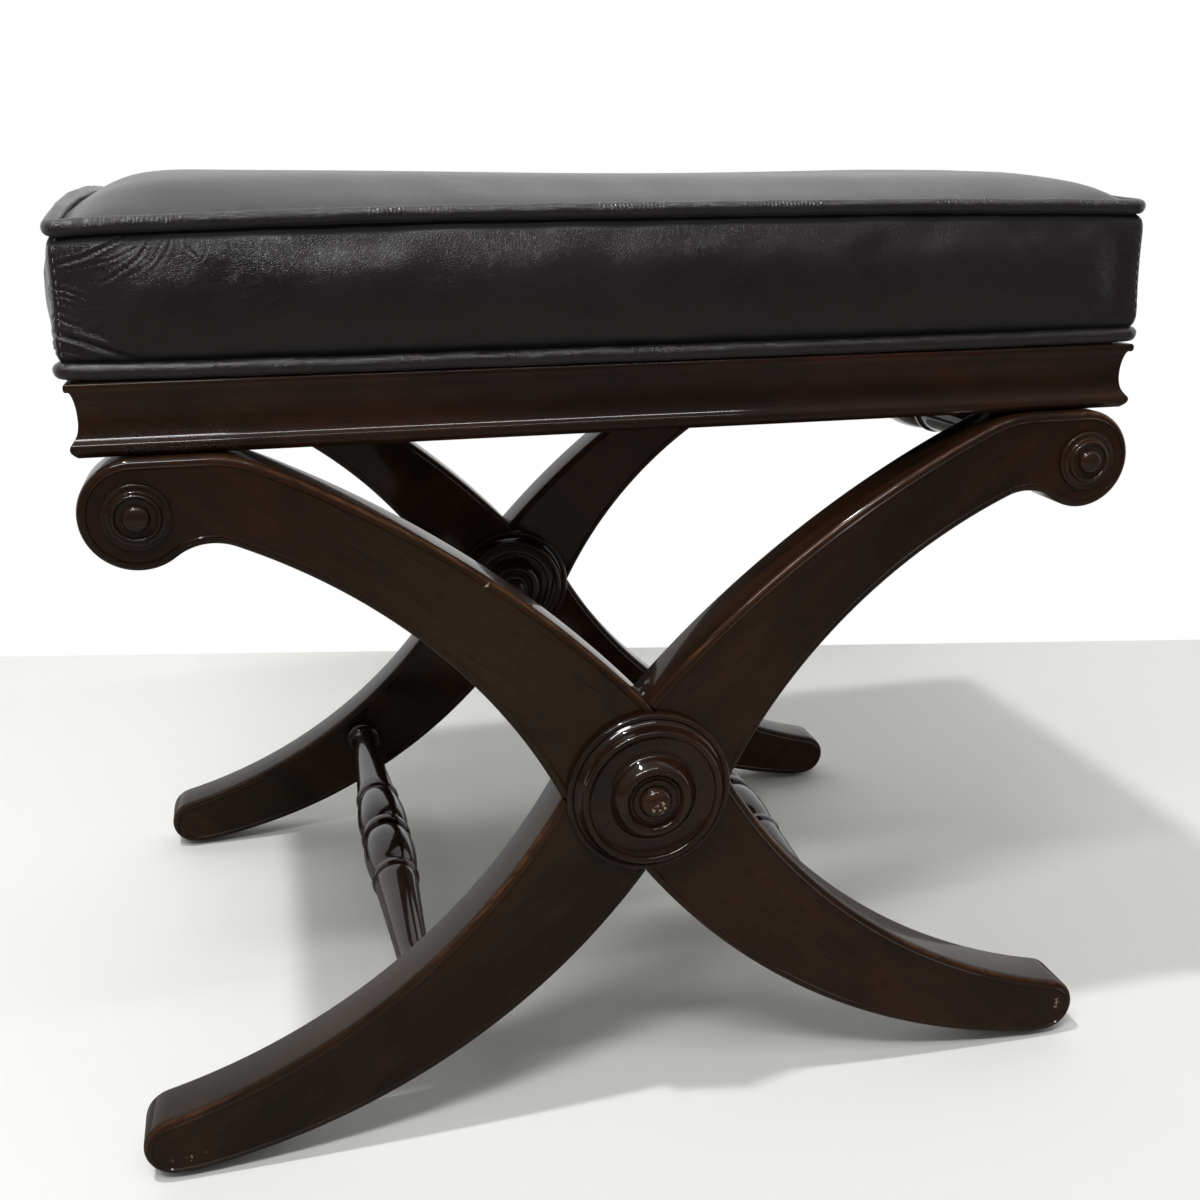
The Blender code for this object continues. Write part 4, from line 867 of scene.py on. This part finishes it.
def puffed(start, slack, pressure, cap):
    """How a sheet sewn fast along its rim moves when the padding blows it up, by simulation."""
    high, wide = start.shape[:2]
    sheet = active(sheet_of("sheet", start))
    rim = [
        j * wide + i
        for j in range(high) for i in range(wide) if i in (0, wide - 1) or j in (0, high - 1)
    ]
    sheet.vertex_groups.new(name="seam").add(rim, 1.0, "REPLACE")
    cloth = sheet.modifiers.new("padding", "CLOTH")
    settings = cloth.settings
    settings.quality = 6
    settings.mass = 0.4
    settings.tension_stiffness = settings.compression_stiffness = 30
    settings.shear_stiffness = 12
    settings.bending_stiffness = 0.6
    settings.shrink_min = -slack
    settings.vertex_group_mass = "seam"
    settings.effector_weights.gravity = 0
    settings.use_pressure = True
    settings.uniform_pressure_force = pressure
    cloth.collision_settings.use_collision = False
    for step in range(simulation_steps):
        bpy.context.scene.frame_set(step + 1)
    blown = sheet.evaluated_get(bpy.context.evaluated_depsgraph_get()).data
    moved = np.zeros(start.size)
    blown.vertices.foreach_get("co", moved)
    moves = moved.reshape(start.shape) - start
    length = np.linalg.norm(moves, axis=2, keepdims=True)
    bpy.data.objects.remove(sheet)
    bpy.context.scene.frame_set(1)
    return moves * np.minimum(1, cap / np.maximum(length, 1e-9))


def padded_rows(shape, fine, coarse, spacing, slack, pressure, cap):
    """Rows of points of a shape at fine places, and their moves, smoothed from coarse places."""
    drawn = [
        np.array([[tuple(shape(along, up)) for along in places[0]] for up in places[1]])
        for places in (fine, coarse)
    ]
    weights = []
    for near, far, reach in zip(fine, coarse, spacing):
        gaps = (np.array(near)[:, None] - np.array(far)[None, :]) / reach
        shares = np.exp(-(gaps**2))
        weights.append(shares / shares.sum(axis=1, keepdims=True))
    moves = puffed(drawn[1], slack, pressure, cap)
    return drawn[0], np.einsum("jic,xi,yj->yxc", moves, *weights)


# Creases at a corner of the cover, as in the photograph: depth and half width in mm, then the
# places along the crease, in mm from the corner seam and above the edge of the lower cord.
corner_creases = [
    (0.75, 0.80, [(36, 57), (21.5, 49.6), (13, 46.3), (3, 44.6)]),
    (0.40, 0.60, [(37, 50), (26, 45), (15, 43), (5, 41.5)]),
    (0.50, 0.75, [(44, 56), (38, 46.3), (25.7, 37.8), (19, 35.5)]),
    (0.32, 0.60, [(49, 54), (43, 44), (32, 37.5)]),
    (0.34, 0.65, [(58, 55), (59, 49), (63.8, 43.6)]),
    (0.30, 0.60, [(52, 54), (50, 48), (45, 42)]),
    (0.24, 0.55, [(66, 54), (67, 48), (64, 43)]),
    (0.80, 0.65, [(0, 34.5), (5, 33), (13, 29.4)]),
    (0.70, 0.60, [(0.5, 31.5), (5, 30.6), (10.5, 28.0)]),
    (0.40, 0.55, [(0.5, 28.5), (4, 27.6), (8, 25.5)]),
    (0.75, 0.65, [(0, 22.4), (4, 19.8), (10.5, 17.4)]),
    (1.50, 1.20, [(-1, 14.4), (7, 12), (15, 9.1), (22.4, 6.1), (31, 2.5)]),
    (0.55, 0.60, [(0.5, 10.9), (6, 9.1), (12, 7.3)]),
    (0.55, 0.60, [(0.5, 7.4), (6, 6.1), (11, 5.5)]),
]


def creased(from_end, height):
    """How far the leather is pushed in (-) or out (+) by the creases at one corner."""
    spots = np.stack([from_end, height], axis=-1) * 1000
    total = np.zeros(spots.shape[:2])
    for depth, half_width, places in corner_creases:
        line = np.array([tuple(point) for point in flowing(places, 6)])
        gaps = np.linalg.norm(spots[:, :, None, :] - line[None, None], axis=-1)
        nearest = gaps.argmin(axis=2)
        gap = gaps.min(axis=2) / half_width
        fade = np.sqrt(np.sin(pi * (0.06 + 0.90 * nearest / (len(line) - 1))))
        ridge = 0.5 * np.exp(-(((gap - 2.2) / 1.1) ** 2))
        total += depth * fade * (ridge - np.exp(-(gap**2)))
    return total / 1000


fine_step, fine_reach, coarse_step, coarse_strip_step = 0.0012, 0.066, 0.0050, 0.0035
crease_reach, seam_hold, gather_reach, gather_start = 0.075, 0.004, 0.010, 0.002
# The lower cord hides the bottom of a strip, and from its edge it is this far to the upper cord.
hidden_by_low_cord, low_to_top_cord = 0.0015, 0.0577
# How far the shade painted at a seam reaches: up from the lower cord, down from the upper one, and in
# from the cord along the left of the top
low_painted_shade, low_painted_shade_fade, top_painted_shade, top_painted_shade_fade = 0.0034, 0.0014, 0.0056, 0.0016
left_painted_shade, left_painted_shade_fade = 0.0050, 0.0025
columns, lines = (finer_at_ends(half, fine_step, coarse_step) for half in (top_half_x, top_half_y))
coarse = np.linspace(-top_half_x, top_half_x, 68), np.linspace(-top_half_y, top_half_y, 52)
rows, moves = padded_rows(top_point, (columns, lines), coarse, (0.015, 0.015), 0.012, 3.0, 0.0042)
cover = {"top": sheet_of("leather_panel", rows + moves)}
# Shade is painted dark along the left edge of the top, beside the cord.
beside_cord = (left_painted_shade - (np.array(columns) + top_half_x)) / left_painted_shade_fade
store(cover["top"], "seam", np.tile(np.clip(beside_cord, 0, 1), (len(lines), 1)))
corner_lines = {}
# The strips: how strongly each end is creased, from the photograph or in keeping with it
for side, half, across, turn, creases, fine, rows_up in (
    ("front", top_half_x, False, 0, (1.0, 0.10), 0.0005, 96),
    ("rear", top_half_x, False, pi, (0.35, 0.6), 0.0009, 60),
    ("right", top_half_y, True, 0, (0.15, 0.4), 0.0009, 60),
    ("left", top_half_y, True, pi, (0.5, 0.8), 0.0007, 80),
):
    columns = np.array(finer_at_ends(half, fine, coarse_step, fine_reach))
    ups = 0.5 - 0.5 * np.cos(pi * np.linspace(0.06, 0.94, rows_up))
    ups = (ups - ups[0]) / (ups[-1] - ups[0])
    coarse = np.linspace(-half, half, round(half / coarse_strip_step)), np.linspace(0, 1, 11)
    rows, moves = padded_rows(
        lambda x, up: side_point(x / half, up, across, turn > 0),
        (columns, ups), coarse, (0.008, 0.11), 0.015, 4.0, 0.003,
    )
    from_corner = half - np.abs(columns)
    from_rim = np.minimum(ups, 1 - ups) * strip_height
    free = [1 - np.exp(-distance / seam_hold) for distance in (from_corner, from_rim)]
    rows += moves * free[0][None, :, None] * free[1][:, None, None]
    outward = np.cross(np.gradient(rows, axis=1), np.gradient(rows, axis=0))
    outward /= np.linalg.norm(outward, axis=2, keepdims=True)
    heights = np.repeat(ups[:, None] * strip_height - hidden_by_low_cord, len(columns), axis=1)
    pushed = np.zeros(heights.shape)
    for strength, from_end in zip(creases, (columns + half, half - columns)):
        near = from_end < crease_reach
        from_end = np.repeat(from_end[None, near], len(ups), axis=0)
        pushed[:, near] += strength * creased(from_end, heights[:, near])
    rows += outward * pushed[:, :, None]
    cover[side] = sheet_of(f"{side}_leather_strip", rows)
    below_cord = low_to_top_cord - heights
    gathered = np.exp(-below_cord / gather_reach) * (1 - np.exp(-below_cord / gather_start))
    wander = np.array([0.5 + noise.noise((x * 22, turn, 0)) for x in columns])
    store(cover[side], "gathers", gathered * np.clip(wander, 0, 1)[None, :])
    # Shade is painted dark on each strip just under the upper cord and just above the lower one.
    at_top, at_bottom = (top_painted_shade - below_cord) / top_painted_shade_fade, (low_painted_shade - heights) / low_painted_shade_fade
    store(cover[side], "seam", np.clip(np.maximum(at_top, at_bottom), 0, 1))
    for end, column in ((-1, 3), (1, len(columns) - 4)):
        if not across:
            seen_end = end if side == "front" else -end
            corner_lines[side, seen_end] = turn, rows[:, column], outward[:, column]
    cover[side].data.transform(Matrix.Rotation(turn, 4, "Z"))

# Leather of the cover: aubergine-brown hide with a fine pebbled grain, faint mottling and a
# soft sheen. Its five panels are padded from behind and sewn to the cords.
hide_thickness, pebbles_per_metre, hide_relief = 0.0013, 1000.0, 0.00015
hide_deep, hide_raised = (0.0066, 0.0037, 0.0044), (0.0115, 0.0068, 0.0079)
# Near-black colour painted into the seams as shade under the cords
seam_painted_shade = (0.001, 0.001, 0.001)
sheen_tint, sheen_roughness = (0.92, 0.94, 1.0, 1), 0.5


def leather_grain_group():
    tree, taken, given = new_group(
        "leather grain",
        {"Place": "Vector", "Gathers": "Float", "Seam": "Float", "Dullness": "Float"},
        {"Color": "Color", "Roughness": "Float", "Height": "Float"},
    )
    place, seam = taken["Place"], taken["Seam"]
    links = [(0, noise_of(tree, place, 120.0, 2.0)), (1, (0.004, 0.004, 0.004)), (2, place)]
    wandering = add_node(tree, "ShaderNodeVectorMath", links, operation="MULTIPLY_ADD")
    links = [("Vector", wandering.outputs["Vector"]), ("Scale", pebbles_per_metre)]
    cells = add_node(tree, "ShaderNodeTexVoronoi", links, feature="DISTANCE_TO_EDGE")
    pebbles = ranged(tree, cells.outputs["Distance"], 0.0, 0.22)
    fine = math_of(tree, "MULTIPLY", noise_of(tree, place, 2400.0, 2.0), 0.5)
    folds = noise_of(tree, stretched(tree, place, (430, 430, 60)), 1.0)
    folds = math_of(tree, "MULTIPLY", math_of(tree, "MULTIPLY", folds, taken["Gathers"]), 9.0)
    height = math_of(tree, "ADD", math_of(tree, "ADD", pebbles, fine), folds)
    mottle = noise_of(tree, place, 18.0, 5.0, 0.6)
    colour = blended(tree, ranged(tree, mottle, 0.3, 0.7), hide_deep, hide_raised)
    colour = blended(tree, 1.0, colour, ranged(tree, pebbles, 0.0, 0.5, 0.75, 1.0), "MULTIPLY")
    # Down in the seams the colour is painted near black as shade under the cords, and the leather is
    # made dull there.
    colour = blended(tree, seam, colour, seam_painted_shade)
    dull = math_of(tree, "ADD", ranged(tree, mottle, 0.3, 0.7, 0.0, 0.08), taken["Dullness"])
    dull = math_of(tree, "ADD", dull, math_of(tree, "MULTIPLY", seam, 0.6))
    for key, source in (("Color", colour), ("Roughness", dull), ("Height", height)):
        tree.links.new(source, given[key])
    return tree


leather_grain = leather_grain_group()


def leather(name, strength, gloss, dullness, sheen):
    finish, tree, inputs = plain_finish(name, (0.0075, 0.0045, 0.0052), dullness)
    inputs["Specular IOR Level"].default_value = gloss
    inputs["Sheen Weight"].default_value = sheen
    inputs["Sheen Roughness"].default_value = sheen_roughness
    inputs["Sheen Tint"].default_value = sheen_tint
    links = [("Place", object_place(tree)), ("Dullness", dullness)]
    for mask in ("Gathers", "Seam"):
        stored = add_node(tree, "ShaderNodeAttribute", attribute_name=mask.lower())
        links.append((mask, stored.outputs["Fac"]))
    hide = add_node(tree, "ShaderNodeGroup", links, node_tree=leather_grain).outputs
    tree.links.new(hide["Color"], inputs["Base Color"])
    tree.links.new(hide["Roughness"], inputs["Roughness"])
    bumped(tree, inputs, hide["Height"], strength, hide_relief)
    return finish


strip_leather = leather("aubergine leather", 0.5, 0.42, 0.26, 0.06)
# The top gets a copy of the leather with a strong painted sheen, for the pale reflection along its
# shoulders, and a slightly rougher finish.
top_leather_with_painted_sheen = leather("aubergine leather with painted sheen", 0.5, 0.38, 0.28, 0.40)
for side, piece in cover.items():
    active(piece)
    thickness = piece.modifiers.new("hide thickness", "SOLIDIFY")
    thickness.thickness = hide_thickness
    thickness.offset = -1
    bpy.ops.object.modifier_apply(modifier=thickness.name)
    bpy.ops.object.shade_smooth()
    piece.data.materials.append(top_leather_with_painted_sheen if side == "top" else strip_leather)
    fit(piece, "leather_top" if side == "top" else f"leather_band_{side}")

# Stitches: waxed thread, paler than the leather. A row of single stitches closes the seam
# between two strips at each corner of the cover.
thread_half, stitch_pitch, stitch_half = 0.00028, 0.0049, 0.0013
stitch_sides, first_stitch, last_stitch = 8, 0.006, 0.004
stitch_top, stitch_dip, stitch_taper = 0.00035, 0.0007, 0.35
thread, tree, inputs = plain_finish("waxed thread", (0.14, 0.12, 0.11), 0.6)
bumped(tree, inputs, noise_of(tree, object_place(tree), 2500.0, 2.0), 1.0, 0.0002)
for (side, end), (turn, line, outward) in corner_lines.items():
    work = bmesh.new()
    travelled = np.concatenate([[0], np.cumsum(np.linalg.norm(np.diff(line, axis=0), axis=1))])
    middle = first_stitch
    while middle < travelled[-1] - last_stitch:
        rings = []
        for share in (step / 3 - 1 for step in range(7)):
            place = middle + stitch_half * share
            spot, out = (
                Vector([np.interp(place, travelled, values[:, axis]) for axis in range(3)])
                for values in (line, outward)
            )
            out.normalize()
            aside = Vector((0, 0, 1)).cross(out).normalized()
            spot += out * (stitch_top - stitch_dip * share**2)
            thick = thread_half * (1 - stitch_taper * share**2)
            angles = [2 * pi * corner / stitch_sides for corner in range(stitch_sides)]
            ring = [spot + thick * (cos(angle) * out + sin(angle) * aside) for angle in angles]
            rings.append([work.verts.new(point) for point in ring])
        for near, far in zip(rings, rings[1:]):
            wall_between(work, near, far, around=True)
        work.faces.new(rings[0])
        work.faces.new(rings[-1])
        middle += stitch_pitch
    stitches = object_from(work, f"{side}_{'left' if end < 0 else 'right'}_corner_stitches")
    stitches.data.shade_smooth()
    stitches.data.transform(Matrix.Rotation(turn, 4, "Z"))
    stitches.data.materials.append(thread)
    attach(stitches, "root")

# Foam pad that fills the cover: cream upholstery foam, cut a little smaller than the leather
# and glued to the seat board.
foam_inset, foam_bottom, foam_fine, foam_coarse = 0.0032, 0.4466, 0.006, 0.018
foam_dark, foam_light = (0.55, 0.45, 0.28), (0.74, 0.64, 0.44)
foam_half_x, foam_half_y = top_half_x - foam_inset, top_half_y - foam_inset
foam_x = finer_at_ends(foam_half_x, foam_fine, foam_coarse)
foam_y = finer_at_ends(foam_half_y, foam_fine, foam_coarse)
wide, deep = len(foam_x), len(foam_y)
work = bmesh.new()
grid = sheet_in(work, [[top_point(x, y, foam_inset) for x in foam_x] for y in foam_y])
order = [(0, i) for i in range(wide - 1)] + [(j, wide - 1) for j in range(deep - 1)]
order += [(deep - 1 - j, wide - 1 - i) for j, i in order]
ring = [grid[j][i] for j, i in order]
for up in (0.94, 0.86, 0.7, 0.5, 0.3, 0.16, 0.085):
    lower = []
    for j, i in order:
        if j in (0, deep - 1):
            point = side_point(foam_x[i] / foam_half_x, up, False, False, foam_inset)
            point.y = -point.y if j else point.y
        else:
            point = side_point(foam_y[j] / foam_half_y, up, True, i == 0, foam_inset)
            point.x = -point.x if i == 0 else point.x
        point.z = max(point.z, foam_bottom)
        lower.append(work.verts.new(point))
    wall_between(work, lower, ring, around=True)
    ring = lower
work.faces.new(ring)
pad = active(object_from(work, "foam_pad"))
bpy.ops.object.shade_smooth_by_angle(angle=radians(40))
foam, tree, inputs = plain_finish("cream foam", (0.72, 0.62, 0.42), 0.95)
cells = add_node(tree, "ShaderNodeTexVoronoi", [("Vector", object_place(tree)), ("Scale", 700.0)])
cells = cells.outputs["Distance"]
bumped(tree, inputs, cells, 1.0, 0.0005)
foam_tint = blended(tree, ranged(tree, cells, 0.1, 0.6), foam_dark, foam_light)
tree.links.new(foam_tint, inputs["Base Color"])
pad.data.materials.append(foam)
fit(pad, "seat_foam")

# Piping: a cord wrapped in a bias strip of the same leather, sewn into each seam. It arches with
# the top seam, and its leather is finely crimped where it was drawn round the cord.
cord_corner, cord_step, arc_steps, cord_sides = 0.006, 0.0013, 10, 24
crimp_pitch, crimp_relief, lump_height, drift_reach = 0.0020, 0.00022, 0.0003, 0.0004
cord_leather = leather("piping leather", 0.6, 0.60, 0.22, 0.06)
tree = cord_leather.node_tree
wrap = add_node(tree, "ShaderNodeAttribute", attribute_name="wrap").outputs["Vector"]
wrap = add_node(tree, "ShaderNodeSeparateXYZ", [("Vector", wrap)]).outputs
turns = math_of(tree, "ADD", math_of(tree, "DIVIDE", wrap["X"], crimp_pitch), wrap["Y"])
ridges = math_of(tree, "SINE", math_of(tree, "MULTIPLY", turns, 2 * pi), 0.0)
ridges = math_of(tree, "MULTIPLY", ridges, wrap["Z"])
bumped(tree, tree.nodes["Principled BSDF"].inputs, ridges, 1.0, crimp_relief)


def piping(name, half_x, half_y, height, radius, arched, crimp, seed):
    """One closed cord: rings of points along a round-cornered path."""
    path = []
    for turn, (sign_x, sign_y) in enumerate(((1, 1), (-1, 1), (-1, -1), (1, -1))):
        centre = Vector((sign_x * (half_x - cord_corner), sign_y * (half_y - cord_corner)))
        for angle in ((turn + index / arc_steps) * pi / 2 for index in range(arc_steps)):
            way = Vector((cos(angle), sin(angle)))
            path.append((centre + cord_corner * way, way))
        way = Vector((cos((turn + 1) * pi / 2), sin((turn + 1) * pi / 2)))
        run = 2 * ((half_y if turn % 2 else half_x) - cord_corner)
        start, ahead = centre + cord_corner * way, Vector((-way.y, way.x))
        side_steps = round(run / cord_step)
        path += [(start + ahead * run * index / side_steps, way) for index in range(side_steps)]
    work = bmesh.new()
    rings, wraps, painted_shades = [], [], []
    travelled, before = 0.0, path[-1][0]
    for place, way in path:
        travelled += (place - before).length
        before = place
        share_x, share_y = place.x / half_x, place.y / half_y
        rise = seam_arch(share_x, share_y) if arched else corner_lift * abs(share_x * share_y) ** 4
        drift = noise.noise((travelled * 24, seed, 0)) * drift_reach
        ring = []
        for side in range(cord_sides):
            angle = 2 * pi * side / cord_sides
            lumps = noise.noise((travelled * 60, cos(angle), sin(angle) + seed))
            around = radius + lump_height * lumps
            out = place + way * (around * cos(angle) + drift)
            ring.append(work.verts.new((out.x, out.y, height + rise + around * sin(angle) + drift)))
            patch = max(noise.noise((travelled * 18, angle, seed)) + 0.55, 0)
            depth = crimp * patch * max(sin(angle + 0.2), 0) ** 1.5
            wraps += [travelled, side / cord_sides * 0.8, depth]
            # On the upper cord the lower side is painted dark as shade, through the seam mask.
            painted_shades.append(min(max(-1.6 * sin(angle + 0.3) - 0.3, 0), 1) if arched else 0)
        rings.append(ring)
    for near, far in zip(rings, rings[1:] + rings[:1]):
        wall_between(work, far, near, around=True)
    piece = object_from(work, name)
    piece.data.shade_smooth()
    piece.data.attributes.new("wrap", "FLOAT_VECTOR", "POINT").data.foreach_set("vector", wraps)
    store(piece, "seam", np.array(painted_shades))
    piece.data.materials.append(cord_leather)
    return piece


sizes = top_cord_x, top_cord_y, top_cord_height, top_cord_radius
cord = piping("upper_piping", *sizes, arched=True, crimp=1.0, seed=1)
fit(cord, "welt_top")
sizes = low_cord_x, low_cord_y, low_cord_height, low_cord_radius
cord = piping("lower_piping", *sizes, arched=False, crimp=0.25, seed=9)
fit(cord, "welt_bottom")
